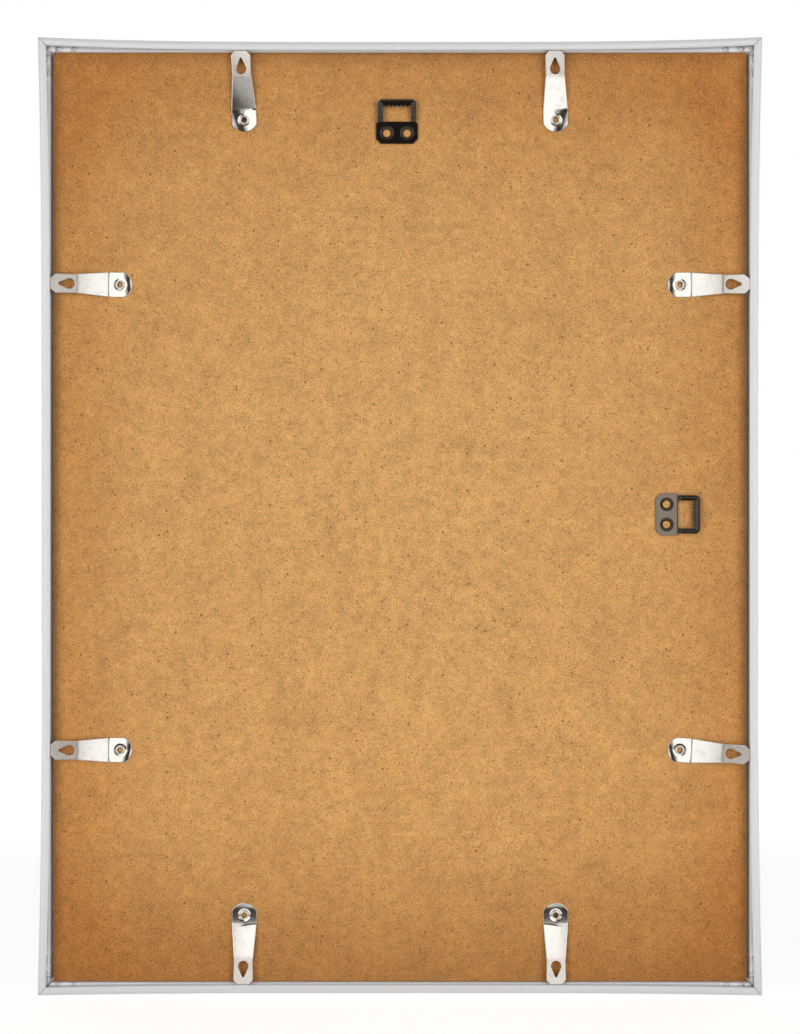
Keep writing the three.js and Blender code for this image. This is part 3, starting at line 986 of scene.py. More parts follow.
@dataclass
class FormedSheet:
    """A stamped sheet: a plan outline with holes, pressed to a form and rounded at its edges.

    The plan has X sideways and Y outward, and heights are counted off the board. Between the
    edges its points lie in staggered rows, more closely at the creases, with marks added.
    """

    thickness: float
    edge_radius: float
    pitch: float
    form: Callable[[float, float], float]
    creases: Sequence[float] = ()
    marks: Loop = field(default_factory=list)
    rims: List[Rim] = field(default_factory=list)
    row_ratio: float = 0.87
    edge_margin: float = 0.45
    support_inset: float = 0.8
    crease_spacing: float = 0.07

    def edge_section(self) -> Loop:
        """The section of a plain rounded edge.

        Returns:
            Its points, from the upper face to the lower.
        """
        radius, thickness = self.edge_radius, self.thickness
        turns = [math.radians(a) for a in (90, 60, 30, 0)]
        top = [(radius * (1 - math.cos(a)), thickness - radius * (1 - math.sin(a))) for a in turns]
        return top + [(inset, thickness - height) for inset, height in reversed(top)]

    def add_edge(self, loop: Sequence[Point], section: Optional[Loop] = None) -> None:
        """Adds an edge: the outline first, and then each hole, which runs the other way round.

        Args:
            loop: The edge in plan.
            section: The section that it follows, if it isn't a plain rounded edge.
        """
        dense = refined(loop, self.pitch)
        turn = -1 if self.rims else 1
        ordered = dense if area_of(dense) * turn > 0 else dense[::-1]
        self.rims.append(Rim(ordered, section or self.edge_section()))

    def _inner_points(self) -> Loop:
        """Plan points inside the sheet.

        Returns:
            Staggered rows, a row of support points along each edge, and the marks.
        """
        (left, right), (near, far) = [(min(v), max(v)) for v in zip(*self.rims[0].loop)]
        rows = int((far - near) / (self.pitch * self.row_ratio)) + 1
        columns = int((right - left) / self.pitch) + 1
        margin = self.edge_radius + self.pitch * self.edge_margin
        outer, *holes = [offset(rim.loop, rim.section[0][0] + margin) for rim in self.rims]
        levels = [near + row * self.pitch * self.row_ratio for row in range(rows)]
        levels = [y for y in levels if all(abs(y - c) > self.pitch for c in self.creases)]
        for crease in self.creases:
            levels += [crease + k * self.pitch * self.crease_spacing for k in range(-2, 3)]
        points = []
        for row, y in enumerate(levels):
            for column in range(columns):
                spot = (left + (column + 0.5 * (row % 2)) * self.pitch, y)
                if inside(spot, outer) and not any(inside(spot, hole) for hole in holes):
                    points.append(spot)
        for rim in self.rims:
            points += offset(rim.loop, rim.section[0][0] + self.edge_radius * self.support_inset)
        return points + self.marks

    def surface(self) -> Surface:
        """Builds the closed skin of the sheet.

        Returns:
            Its points, as (sideways, minus the height, outward), and its faces.
        """
        borders = [offset(rim.loop, rim.section[0][0]) for rim in self.rims]
        plan, edges = [], []
        for loop in borders:
            first, size = len(plan), len(loop)
            plan += loop
            edges += [(first + i, first + (i + 1) % size) for i in range(size)]
        on_borders = len(plan)
        spots = [Vector(p) for p in plan + self._inner_points()]
        found, _, faces, origins, _, _ = delaunay_2d_cdt(spots, edges, [], 0, MERGE_DISTANCE)
        made = Surface()
        count = len(found)
        heights = [self.form(p.x, p.y) for p in found]
        made.points = [(p.x, -(h + self.thickness), p.y) for p, h in zip(found, heights)]
        made.points += [(p.x, -h, p.y) for p, h in zip(found, heights)]
        outer, *holes = borders
        for face in faces:
            middle = sum((found[i] for i in face), Vector((0, 0))) / 3
            if inside(middle, outer) and not any(inside(middle, hole) for hole in holes):
                made.faces.append(tuple(face))
                made.faces.append(tuple(count + i for i in reversed(face)))
        index = {old: new for new, olds in enumerate(origins) for old in olds if old < on_borders}
        self._add_rims(made, index, count)
        return made

    def _add_rims(self, made: Surface, index: Mapping[int, int], count: int) -> None:
        """Joins the upper and lower faces along every edge.

        Args:
            made: The skin under construction.
            index: The upper face's point for each point of the edge loops.
            count: Number of points of the upper face.
        """
        first = 0
        for rim in self.rims:
            upper = [index[first + i] for i in range(len(rim.loop))]
            rings = [upper]
            for inset, height in rim.section[1:-1]:
                ring = [(x, -(self.form(x, y) + height), y) for x, y in offset(rim.loop, inset)]
                rings.append(made.add_points(ring))
            rings.append([count + i for i in upper])
            made.add_rings(rings)
            first += len(rim.loop)


def turned_surface(profile: Sequence[Point], facets: int) -> Surface:
    """A closed profile turned about the axis square to the board.

    Args:
        profile: Points as (radius, height off the board).
        facets: Number of facets round the axis.

    Returns:
        The closed skin.
    """
    made = Surface()
    rings = []
    for radius, height in profile:
        ring = [(x, -height, z) for x, z in circle((0, 0), radius, facets)]
        rings.append(made.add_points(ring))
    made.add_rings(rings, closed=True)
    return made


# The frame's pieces


@dataclass(frozen=True)
class RailSite:
    """One rail: where it goes, its share of the draw-in, and how far its strip hangs inward."""

    name: str
    turn: float
    half: float
    spot: Triple
    grain: Grain
    draw: float = 1.0
    hem: float = 0.0


@dataclass
class Rails:
    """The four mitred rails: a hollow bar with a rounded rear flange over a channel, and a lip.

    Between its mitres each rail is drawn in. Beside each mitre two punches have raised and
    burnished the strip between flange and board. A brink is (distance from the inner face, width).
    """

    half_width: float = 155.0
    half_height: float = 205.0
    depth: float = 12.0
    width: float = 5.0
    outer_wall: float = 1.2
    inner_wall: float = 1.1
    flange_reach: float = 3.5
    flange_thickness: float = 1.2
    flange_bevel: Point = (0.12, 0.15)
    flange_crown: float = 0.55
    crown_power: float = 2.4
    crown_flattening: float = 0.45
    channel_top: float = 3.6
    rib_steps: Tuple[float, ...] = (-0.05, 0.1, 0.25)
    inner_round: float = 1.1
    inner_depths: Tuple[float, ...] = (5.2, 6.2, 7.4, 9.0)
    lip_rear: float = 10.6
    lip_overlap: float = 4.0
    lip_bevel: float = 0.1
    front_round: float = 0.4
    outer_depths: Tuple[float, ...] = (10.6, 9.0, 7.4, 6.0, 4.6, 3.4, 2.4, 1.5, 0.9)
    strip_margin: float = 0.1
    mitre_gap: float = 0.06
    mitre_taper: float = 0.045
    draw_in: float = 1.9
    bow_power: float = 3.6
    crimp_places: Tuple[float, ...] = (3.6, 10.2)
    crimp_middle: float = 4.15
    crimp_half_length: float = 1.5
    crimp_slope: float = 0.8
    crimp_height: float = 0.8
    crimp_brink: Point = (0.05, 0.12)
    crimp_dent: float = 0.7
    dent_half_size: Point = (0.45, 0.5)
    burnish_length: float = 2.6
    burnish_gain: float = 1.5
    burnish_brink: Point = (0.3, 0.35)
    steps_along: int = 22
    steps_on_crimp: int = 5
    sharp: float = 38.0
    slot: str = "rail_aluminium"

    def section(self) -> Loop:
        """Draws the rail's section.

        Returns:
            Its points as (inward from the outer face, depth from the rear plane).
        """
        half = self.flange_reach / 2
        spans = [math.sin(math.radians(a)) for a in range(-90, 91, 10)]
        flange = [(half * (1 + s), self.flange_crown * abs(s) ** self.crown_power) for s in spans]
        under = self.flange_thickness
        across, deep = self.flange_bevel
        channel = [
            (self.flange_reach, under - deep),
            (self.flange_reach - across, under),
            (self.outer_wall, under),
            (self.outer_wall, self.channel_top),
        ]
        rib = [(self.flange_reach + step, self.channel_top) for step in self.rib_steps]
        turn = self.inner_round
        corner = arc((self.width - turn, self.channel_top + turn), turn, -90, 0, 9)
        inner = [(self.width, d) for d in (*self.inner_depths, self.lip_rear)]
        reach, bevel = self.width + self.lip_overlap, self.lip_bevel
        lip = [(reach - bevel, self.lip_rear), (reach, self.lip_rear + bevel)]
        edge = self.front_round
        front = arc((reach - edge, self.depth - edge), edge, 0, 90, 4)
        front += arc((edge, self.depth - edge), edge, 90, 180, 4)
        outer = [(0.0, d) for d in self.outer_depths]
        return flange + channel + rib + corner + inner + lip + front + outer

    def marks(self, half: float) -> List[float]:
        """Distances of the punch marks from the middle of a rail of this half length."""
        return [half - self.width - place for place in self.crimp_places]

    def stations(self, half: float) -> List[float]:
        """Places along a rail, close together where the punch marks are.

        Args:
            half: Half the length of the rail.

        Returns:
            The places, from -1 at one mitre to 1 at the other.
        """
        free = half - self.mitre_gap - self.crimp_middle
        steps = range(-self.steps_on_crimp - 1, self.steps_on_crimp + 2)
        moves = [self.crimp_half_length * k / self.steps_on_crimp for k in steps]
        near = [(mark + move) / free for mark in self.marks(half) for move in moves]
        coarse = [i / self.steps_along for i in range(self.steps_along + 1)]
        low, high = min(near), max(near)
        rest = [t for t in coarse if t < low or t > high]
        ends = sorted({round(t, 6) for t in near + rest})
        return [-t for t in reversed(ends) if t > 0] + ends

    def slack(self, station: float) -> float:
        """Share of the draw-in at a place along a rail: none at the mitres, all in the middle."""
        return 1 - abs(station) ** self.bow_power

    def drawn_in(self, inward: float, depth: float) -> float:
        """How far the middle of a rail leans in: its flange and outer wall do, its inner wall not.

        Args:
            inward: Distance of a point of the section from the outer face.
            depth: Its depth from the rear plane.

        Returns:
            The distance towards the middle of the frame.
        """
        inner_face = self.width - self.inner_wall
        across = clamped((inner_face - inward) / (inner_face - self.outer_wall))
        on_flange = depth < (self.flange_thickness + self.channel_top) / 2
        lean = self.draw_in * max(0.0, 1 - depth / self.lip_rear)
        return lean if on_flange else lean * across

    def on_strip(self, inward: float, depth: float) -> bool:
        """Whether a point of the section lies on the strip between the flange and the board."""
        margin, below = self.strip_margin, depth - self.channel_top
        return inward > self.flange_reach - margin and -margin <= below < self.inner_round + margin

    def crimped(self, inward: float, nearest: float) -> float:
        """How far the punches pushed up the strip, less the dent of each punch.

        Args:
            inward: Distance of a point of the strip from the outer face.
            nearest: Its distance along the rail from the nearest punch mark.

        Returns:
            The height above the plain strip.
        """
        edge, fall = self.crimp_brink
        slope = (self.crimp_half_length - nearest) / self.crimp_slope
        raised = clamped(min((self.width - edge - inward) / fall, slope))
        length, breadth = self.dent_half_size
        dent = max(0.0, 1 - nearest / length - abs(inward - self.crimp_middle) / breadth)
        return self.crimp_height * raised - self.crimp_dent * dent

    def burnished(self, inward: float, nearest: float) -> float:
        """How bare the punches rubbed the strip: all beside a mark, none at its inner brink.

        Args:
            inward: Distance of a point of the strip from the outer face.
            nearest: Its distance along the rail from the nearest punch mark.

        Returns:
            The share of bare metal.
        """
        near = self.burnish_gain * (1 - nearest / self.burnish_length)
        edge, fall = self.burnish_brink
        return clamped(min(near, (self.width - edge - inward) / fall))

    def surface(self, site: RailSite) -> Surface:
        """One rail along X with its outer face at Z = 0.

        Args:
            site: The rail.

        Returns:
            The closed skin.
        """
        made = Surface()
        section, half = self.section(), site.half
        rings = []
        for station in self.stations(half):
            slack = self.slack(station)
            ring = []
            for inward, depth in section:
                along = station * (half - self.mitre_gap - inward * (1 + self.mitre_taper))
                moved = self.drawn_in(inward, depth) * slack * site.draw
                level, burnish = depth, 0.0
                if depth <= self.flange_crown:
                    level -= depth * self.crown_flattening * slack
                elif self.on_strip(inward, depth):
                    moved += site.hem
                    nearest = min(abs(abs(along) - mark) for mark in self.marks(half))
                    level -= self.crimped(inward, nearest)
                    burnish = self.burnished(inward, nearest)
                made.shares.append(burnish)
                ring.append((along, level - self.depth / 2, inward + moved))
            rings.append(made.add_points(ring))
        made.add_rings(rings)
        made.faces += [tuple(rings[0]), tuple(reversed(rings[-1]))]
        return made

    def sites(self) -> Tuple[RailSite, ...]:
        """The four rails, as they were left after assembly.

        Returns:
            The rails, from the bottom one round to the right one.
        """
        width, height = self.half_width, self.half_height
        return (
            RailSite("rail_bottom", 0.0, width, (0.0, 0.0, -height), Grain.ALONG_X, 0.6),
            RailSite("rail_left", 90.0, height, (-width, 0.0, 0.0), Grain.ALONG_Z),
            RailSite("rail_top", 180.0, width, (0.0, 0.0, height), Grain.ALONG_X, 1.2, 0.8),
            RailSite("rail_right", -90.0, height, (width, 0.0, 0.0), Grain.ALONG_Z),
        )

    def build(self) -> None:
        """Makes the four rails."""
        finishes = {grain: SatinAluminium(grain).material() for grain in Grain}
        for site in self.sites():
            turn = Matrix.Rotation(math.radians(site.turn), 4, "Y")
            place = Matrix.Translation(site.spot) @ turn
            made = self.surface(site).object(f"{site.name}_bar", place, self.sharp)
            add_piece(made, finishes[site.grain], site.name)


@dataclass(frozen=True)
class BoardPlaces:
    """Places on the back board, counted from its own edges."""

    half_width: float = 149.1
    half_height: float = 199.7
    drop: float = 0.5
    rear: float = 5.15
    frame_depth: float = 12.0

    def at(self, side: Side, along: float, inset: float) -> Matrix:
        """Where a piece on the board goes.

        Args:
            side: The side that it points to.
            along: Its place along that side.
            inset: Its distance from the board's edge there.

        Returns:
            The placing matrix, in millimetres.
        """
        x, z = self.half_width - inset, self.half_height - inset
        spots = {
            Side.TOP: (along, z),
            Side.BOTTOM: (along, -z),
            Side.RIGHT: (x, along),
            Side.LEFT: (-x, along),
        }
        across, up = spots[side]
        spot = Vector((across, self.rear - self.frame_depth / 2, up - self.drop))
        return Matrix.Translation(spot) @ Matrix.Rotation(math.radians(side.value), 4, "Y")


@dataclass(frozen=True)
class ClipSite:
    """One swivel clip: where it is, how far it was left turned, and how its base was bent.

    Past its middle the base bends by fall in the direction of lean, away from the board where
    fall is negative. Cup curls both its sides up, roll tilts the shank sideways, twist changes
    that tilt with each millimetre outward, and satin is how matt its tongue is.
    """

    name: str
    side: Side
    along: float
    turn: float
    lean: Point
    fall: float = 0.016
    cup: float = 0.0
    roll: float = 0.0
    satin: float = 0.6
    twist: float = 0.0


@dataclass
class SwivelClips:
    """The eight spring clips that hold the back in, each on its tubular rivet.

    A clip lies along Y from its rivet: a round base, a crease, a shank that climbs, a shoulder
    and a flatter tongue with a tear-shaped hole, the drop. The rivet's lip is given as points
    (in from the rim of the head, up from its underside).
    """

    places: BoardPlaces
    inset: float = 28.9
    thickness: float = 0.5
    seat: float = 0.12
    edge_radius: float = 0.16
    pitch: float = 0.62
    base_width: float = 10.6
    base_end: float = 5.15
    base_end_radius: float = 5.8
    base_bend_start: float = 0.8
    base_lift: float = 0.10
    base_lowest: float = -0.1
    crease: float = 4.9
    crease_width: float = 0.8
    bend_softness: float = 0.045
    reach: float = 30.815
    shank_lift: float = 0.10
    shank_hollow: float = 0.0012
    tongue_width: float = 7.9
    nick: float = 0.2
    flare: float = 0.2
    tongue_length: float = 12.5
    tongue_slope: float = 3.0
    tip_height: float = 3.15
    tip_taper: float = 3.5
    tip_nose: float = 1.2
    tip_width: float = 4.6
    corner_radii: Tuple[float, ...] = (0.3, 0.1, 0.1, 0.5, 0.3, 0.2)
    satin_lead: float = 1.5
    satin_fade: float = 2.5
    hole_radius: float = 1.7
    drop_radius: float = 2.2
    drop_point: float = 0.5
    drop_from_tip: float = 9.4
    drop_length: float = 4.2
    dimple_radius: float = 2.8
    dimple_depth: float = 0.10
    dimple_wall: float = 0.7
    dimple_margin: float = 0.1
    ring_gap: float = 0.24
    ring_count: int = 4
    bore: float = 1.2
    barrel: float = 1.5
    rivet_depth: float = 2.0
    head: float = 2.0
    head_height: float = 0.55
    head_gap: float = 0.12
    head_upright: float = 0.45
    roll_power: float = 0.55
    barrel_overlap: float = 0.02
    lip_points: Tuple[Point, ...] = ((0.2, 0.0), (0.05, 0.08))
    throat_depth: float = 0.4
    rivet_facets: int = 40
    sharp: float = 50.0
    slot: str = "clip_nickel"
    rivet_slot: str = "rivet_nickel"
    sites: Tuple[ClipSite, ...] = (
        ClipSite(
            "top_left", Side.TOP, -66.9, -2.9, (-0.9, 0.55), -0.008, 0.007, -0.016, 0.3, 0.0011
        ),
        ClipSite("top_right", Side.TOP, 66.9, -1.2, (0.9, 0.55), -0.008, 0.007, -0.016, 0.5),
        ClipSite("right_upper", Side.RIGHT, 100.0, 0.0, (0.0, 1.0), satin=0.4),
        ClipSite("right_lower", Side.RIGHT, -100.0, 3.4, (0.3, 0.95), satin=0.8),
        ClipSite("bottom_right", Side.BOTTOM, 66.9, 0.0, (0.0, 0.85), 0.008, 0.002, 0.014, 0.3),
        ClipSite("bottom_left", Side.BOTTOM, -66.9, 0.7, (0.0, 0.85), 0.008, 0.002, -0.016, 0.6),
        ClipSite("left_lower", Side.LEFT, -100.0, 0.6, (-0.2, 1.0), satin=0.8),
        ClipSite("left_upper", Side.LEFT, 100.0, 0.8, (0.1, 1.0), satin=1.0),
    )

    @property
    def shoulder(self) -> float:
        """Where the shank ends and the tongue starts."""
        return self.reach - self.tongue_length

    def outline(self) -> Loop:
        """Plan of a clip: round base, tapered shank, parallel tongue and pointed tip.

        Returns:
            The closed loop.
        """
        base, tongue, tip = self.base_width / 2, self.tongue_width / 2, self.tip_width / 2
        side = [
            (base, self.crease),
            (tongue + self.nick, self.shoulder - self.nick),
            (tongue, self.shoulder),
            (tongue + self.flare, self.reach - self.tip_taper),
            (tip, self.reach - self.tip_nose),
            (tip, self.reach),
        ]
        centre = (0.0, self.base_end_radius - self.base_end)
        angle = math.degrees(math.acos(base / self.base_end_radius))
        end = arc(centre, self.base_end_radius, 180 + angle, 360 - angle, 24)
        return rounded([(x, y, 0.0) for x, y in end] + symmetric(side, self.corner_radii))

    def teardrop(self) -> Loop:
        """Plan of the tear-shaped hole in the tongue.

        Returns:
            The closed loop.
        """
        centre = self.reach - self.drop_from_tip
        tangent = math.degrees(math.asin((self.drop_radius - self.drop_point) / self.drop_length))
        wide = arc((0.0, centre), self.drop_radius, 180 - tangent, 360 + tangent, 22)
        tip = (0.0, centre + self.drop_length)
        return wide + arc(tip, self.drop_point, tangent, 180 - tangent, 6)

    def rise(self, outward: float) -> float:
        """Height of the underside along a clip, with soft bends at the crease and the shoulder.

        Args:
            outward: Distance from the rivet.

        Returns:
            The height off the board.
        """
        slope = math.tan(math.radians(self.tongue_slope))
        climb = self.tip_height - self.tongue_length * slope - self.seat
        shank = climb / (self.shoulder - self.crease)

        def ramp(distance: float) -> float:
            """A ramp that starts with a soft bend."""
            return (distance + math.sqrt(distance * distance + self.bend_softness**2)) / 2

        level = self.seat + ramp(outward - self.crease) * shank
        return level + ramp(outward - self.shoulder) * (slope - shank)

    def form(self, site: ClipSite) -> Callable[[float, float], float]:
        """The pressed form of one clip.

        Args:
            site: The clip.

        Returns:
            A function from a plan point to the height of the underside.
        """

        def height(sideways: float, outward: float) -> float:
            """Height at a plan point: the bends, a bent base and a slightly hollow tongue.

            Args:
                sideways: The point's distance from the middle of the clip.
                outward: Its distance from the rivet.

            Returns:
                The height off the board.
            """
            before = clamped((self.crease - outward) / self.crease_width)
            spread = sideways * site.lean[0] - outward * site.lean[1] - self.base_bend_start
            base = self.base_lift - site.fall * max(0.0, spread) ** 2
            base += site.cup * sideways * sideways
            middle = math.hypot(sideways, outward)
            ring = clamped((self.dimple_radius - middle) / self.dimple_wall)
            base = max(base - self.dimple_depth * eased(ring), self.base_lowest)
            tilt = site.roll + site.twist * (outward - self.crease)
            shank = tilt * sideways + self.shank_hollow * sideways * sideways
            level = self.rise(outward) + before * base
            return level + (1 - before) * (shank + self.shank_lift)

        return height

    def clip_surface(self, site: ClipSite) -> Surface:
        """The skin of one clip, with the satin of its tongue.

        Args:
            site: The clip.

        Returns:
            The closed skin.
        """
        bends, form = (self.crease, self.shoulder), self.form(site)
        marks = []
        for ring in range(self.ring_count):
            radius = self.dimple_radius + self.dimple_margin - self.ring_gap * ring
            marks += circle((0.0, 0.0), radius, 36)
        sheet = FormedSheet(self.thickness, self.edge_radius, self.pitch, form, bends, marks)
        sheet.add_edge(self.outline())
        sheet.add_edge(circle((0.0, 0.0), self.hole_radius, 24))
        sheet.add_edge(self.teardrop())
        skin = sheet.surface()
        start = self.shoulder - self.satin_lead
        for _, _, outward in skin.points:
            skin.shares.append(site.satin * clamped((outward - start) / self.satin_fade))
        return skin

    def rivet_surface(self) -> Surface:
        """The skin of one rivet: a rolled head over the clip and a barrel pressed into the board.

        Returns:
            The closed skin.
        """
        under = self.seat + self.thickness + self.head_gap
        middle, roll = (self.bore + self.head) / 2, (self.head - self.bore) / 2
        upright = under + self.head_height * self.head_upright
        rolled = self.head_height * (1 - self.head_upright)
        half_round = arc((0.0, 0.0), 1.0, 0, 180, 10)
        crown = [
            (middle + roll * x, upright + rolled * max(0.0, y) ** self.roll_power)
            for x, y in half_round
        ]
        foot = [
            (self.bore, -self.rivet_depth),
            (self.barrel, -self.rivet_depth),
            (self.barrel, under + self.barrel_overlap),
        ]
        lip = [(self.head - inset, under + up) for inset, up in self.lip_points]
        throat = (self.bore, under - self.throat_depth)
        return turned_surface([*foot, *lip, *crown, throat], self.rivet_facets)

    def build(self) -> None:
        """Makes the clips and their rivets."""
        finish = NickelPlate().material()
        for site in self.sites:
            place = self.places.at(site.side, site.along, self.inset)
            turned = place @ Matrix.Rotation(math.radians(site.turn), 4, "Y")
            skin = self.clip_surface(site)
            clip = skin.object(f"spring_clip_{site.name}", turned, self.sharp)
            add_piece(clip, finish, f"clip_{site.name}", f"swivel_{site.name}")
            rivet = self.rivet_surface().object(f"tube_rivet_{site.name}", place, self.sharp)
            add_piece(rivet, finish, f"rivet_{site.name}")


@dataclass
class Hangers:
    """The two black saw-tooth hangers, each with a plate on two collars and a lifted loop.

    A hanger's plan has the plate round the origin and the loop outward, along Y. Funnel and
    throat are points on a collar's way down, as (outside its radius or bore, below the top).
    """

    places: BoardPlaces
    inset: float = 34.5
    off_middle: float = 1.3
    thickness: float = 0.9
    seat: float = 0.12
    edge_radius: float = 0.13
    pitch: float = 0.42
    plate_width: float = 18.1
    plate_height: float = 9.3
    plate_crown: float = 0.05
    far_chamfer: float = 2.1
    near_chamfer: float = 0.7
    loop_width: float = 16.5
    loop_height: float = 9.5
    loop_chamfer: float = 1.3
    corner_radii: Tuple[float, ...] = (0.35, 0.35, 0.25, 0.25, 0.8, 0.8)
    lift: float = 1.5
    ramp: float = 1.4
    ramp_straight: float = 0.6
    arm: float = 2.3
    bar: float = 2.55
    eye_setback: float = 0.15
    eye_near_radius: float = 0.3
    eye_far_radius: float = 0.2
    tooth_pitch: float = 1.75
    tooth_height: float = 0.75
    tooth_count: int = 6
    tooth_root_radius: float = 0.06
    tooth_tip_radius: float = 0.08
    bead_width: float = 1.5
    bead_height: float = 0.36
    bead_inset: float = 1.05
    bead_lead: float = 0.3
    bead_fade: float = 0.7
    collar_spacing: float = 8.7
    collar_bore: float = 1.75
    collar_radius: float = 2.15
    collar_depth: float = 2.0
    funnel_radius: float = 2.75
    funnel_margin: float = 0.3
    funnel: Tuple[Point, ...] = ((0.12, 0.015), (-0.05, 0.09), (-0.35, 0.30))
    throat: Tuple[Point, ...] = ((0.25, 0.66), (0.06, 0.84), (0.0, 1.05))
    reflection_margin: float = 0.1
    reflection_fade: float = 0.4
    reflection_ring_fade: float = 0.25
    sharp: float = 48.0
    slot: str = "hanger_black"

    def outline(self) -> Loop:
        """Plan of a hanger, with the loop outward.

        Returns:
            The closed loop.
        """
        plate, loop = self.plate_width / 2, self.loop_width / 2
        near, end = self.plate_height / 2, self.plate_height / 2 + self.loop_height
        side = [
            (plate - self.far_chamfer, -near),
            (plate, -near + self.far_chamfer),
            (plate, near - self.near_chamfer),
            (loop, near),
            (loop, end - self.loop_chamfer),
            (loop - self.loop_chamfer, end),
        ]
        return rounded(symmetric(side, self.corner_radii))

    def eye(self) -> Loop:
        """Plan of the loop's opening, with the teeth on its outer edge.

        Returns:
            The closed loop.
        """
        opening = self.loop_width / 2 - self.arm
        root = self.plate_height / 2 + self.loop_height - self.bar
        near = self.plate_height / 2 + self.eye_setback
        radius = self.eye_near_radius
        loop = [(-opening, near, radius), (opening, near, radius)]
        loop.append((opening, root, self.eye_far_radius))
        half = self.tooth_count / 2
        for tooth in range(self.tooth_count):
            x = (half - tooth) * self.tooth_pitch
            tip = (x - self.tooth_pitch / 2, root - self.tooth_height, self.tooth_tip_radius)
            loop += [(x, root, self.tooth_root_radius), tip]
        loop.append((-half * self.tooth_pitch, root, self.tooth_root_radius))
        return rounded([*loop, (-opening, root, self.eye_far_radius)], 2)

    def bead(self, sideways: float, outward: float) -> float:
        """Height of the stiffening bead that runs along the loop's arms and bar.

        Args:
            sideways: Distance of a plan point from the middle of the hanger.
            outward: Its distance outward from the middle of the plate.

        Returns:
            The height above the plain loop.
        """
        near = self.plate_height / 2
        side = self.loop_width / 2 - self.bead_inset
        end = near + self.loop_height - self.bead_inset
        x, y = abs(sideways), outward
        corner = math.hypot(x - side, y - end)
        across = abs(x - side) if y < end else corner
        along = abs(y - end) if x < side else corner
        nearest = min(across, along) / (self.bead_width / 2)
        start = clamped((outward - near - self.ramp + self.bead_lead) / self.bead_fade)
        return self.bead_height * max(0.0, 1 - nearest * nearest) * start

    def form(self, sideways: float, outward: float) -> float:
        """Height of the underside: the plate, the ramp, and the loop with its bead.

        Args:
            sideways: Distance of a plan point from the middle of the hanger.
            outward: Its distance outward from the middle of the plate.

        Returns:
            The height off the board.
        """
        share = clamped((outward - self.plate_height / 2) / self.ramp)
        rise = eased(share)
        climb = self.ramp_straight * share + (1 - self.ramp_straight) * rise
        crown = self.plate_crown * (1 - (sideways / self.plate_width * 2) ** 2) * (1 - rise)
        return self.seat + self.lift * climb + self.bead(sideways, outward) + crown

    def collar_section(self, rim: float) -> Loop:
        """The section of a collar: a funnel from the upper face down into the board.

        Args:
            rim: Radius at which the funnel's rounding starts.

        Returns:
            Its points as (distance into the sheet, height above the underside).
        """
        top, bore, wall = self.thickness, self.collar_bore, self.collar_radius
        path = [(rim, top)]
        path += [(self.funnel_radius + out, top - down) for out, down in self.funnel]
        path += [(bore + out, top - down) for out, down in self.throat]
        path += [(bore, -self.collar_depth), (wall, -self.collar_depth), (wall, 0.0), (rim, 0.0)]
        return [(radius - rim, height) for radius, height in path]

    def painted_reflection(self, sideways: float, outward: float) -> float:
        """How much painted reflection greys a plan point: all on the flat of the plate, not on the
        loop.

        Args:
            sideways: The point's distance from the middle of the hanger.
            outward: Its distance outward from the middle of the plate.

        Returns:
            The share, which is zero in the collars' funnels too.
        """
        flat = (self.plate_height / 2 - self.reflection_margin - outward) / self.reflection_fade
        middle = math.hypot(abs(sideways) - self.collar_spacing / 2, outward)
        ring = (middle - self.funnel_radius - self.reflection_margin) / self.reflection_ring_fade
        return clamped(min(flat, ring))

    def surface(self, reflected: float) -> Surface:
        """The skin of one hanger.

        Args:
            reflected: How much a painted reflection greys its plate, from 0 to 1.

        Returns:
            The closed skin.
        """
        sheet = FormedSheet(self.thickness, self.edge_radius, self.pitch, self.form)
        sheet.add_edge(self.outline())
        sheet.add_edge(self.eye())
        rim = self.funnel_radius + self.funnel_margin
        for sideways in (-self.collar_spacing / 2, self.collar_spacing / 2):
            sheet.add_edge(circle((sideways, 0.0), rim, 36), self.collar_section(rim))
        skin = sheet.surface()
        # painted reflection: the flat of the plate is greyed as if it mirrored bright surroundings
        skin.shares = [reflected * self.painted_reflection(x, outward) for x, _, outward in skin.points]
        return skin

    def build(self) -> None:
        """Makes the two hangers."""
        finish = BlackEnamel().material()
        # the landscape hanger's plate gets the painted reflection, the portrait one none
        sites = (
            ("hanger_portrait", Side.TOP, -self.off_middle, 0.0),
            ("hanger_landscape", Side.RIGHT, self.off_middle, 1.0),
        )
        for name, side, along, reflected in sites:
            place = self.places.at(side, along, self.inset)
            made = self.surface(reflected).object(f"{name}_plate", place, self.sharp)
            add_piece(made, finish, name)


@dataclass
class PicturePack:
    """What lies in the frame and joins its corners: CAD solids that get their finish."""

    places: BoardPlaces
    board: str = "back_board"
    pane: str = "glazing"
    sheet: str = "insert_sheet"
    key_start: str = "corner_key"

    def dress(self, node: str, finish: bpy.types.Material) -> None:
        """Gives a CAD node its finish.

        Args:
            node: The CAD node.
            finish: Its material.
        """
        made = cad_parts[node]
        made.data.materials.clear()
        made.data.materials.append(finish)
        LOG.info("%s: dressed as %s", node, finish.name)

    def build(self) -> None:
        """Dresses the board, the pane, the sheet and the corner keys."""
        board = Hardboard(self.places.half_width, self.places.half_height)
        self.dress(self.board, board.material())
        self.dress(self.pane, ClearGlass().material())
        self.dress(self.sheet, BlankPaper().material())
        zinc = ZincSteel().material()
        for node in sorted(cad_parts):
            if node.startswith(self.key_start):
                self.dress(node, zinc)


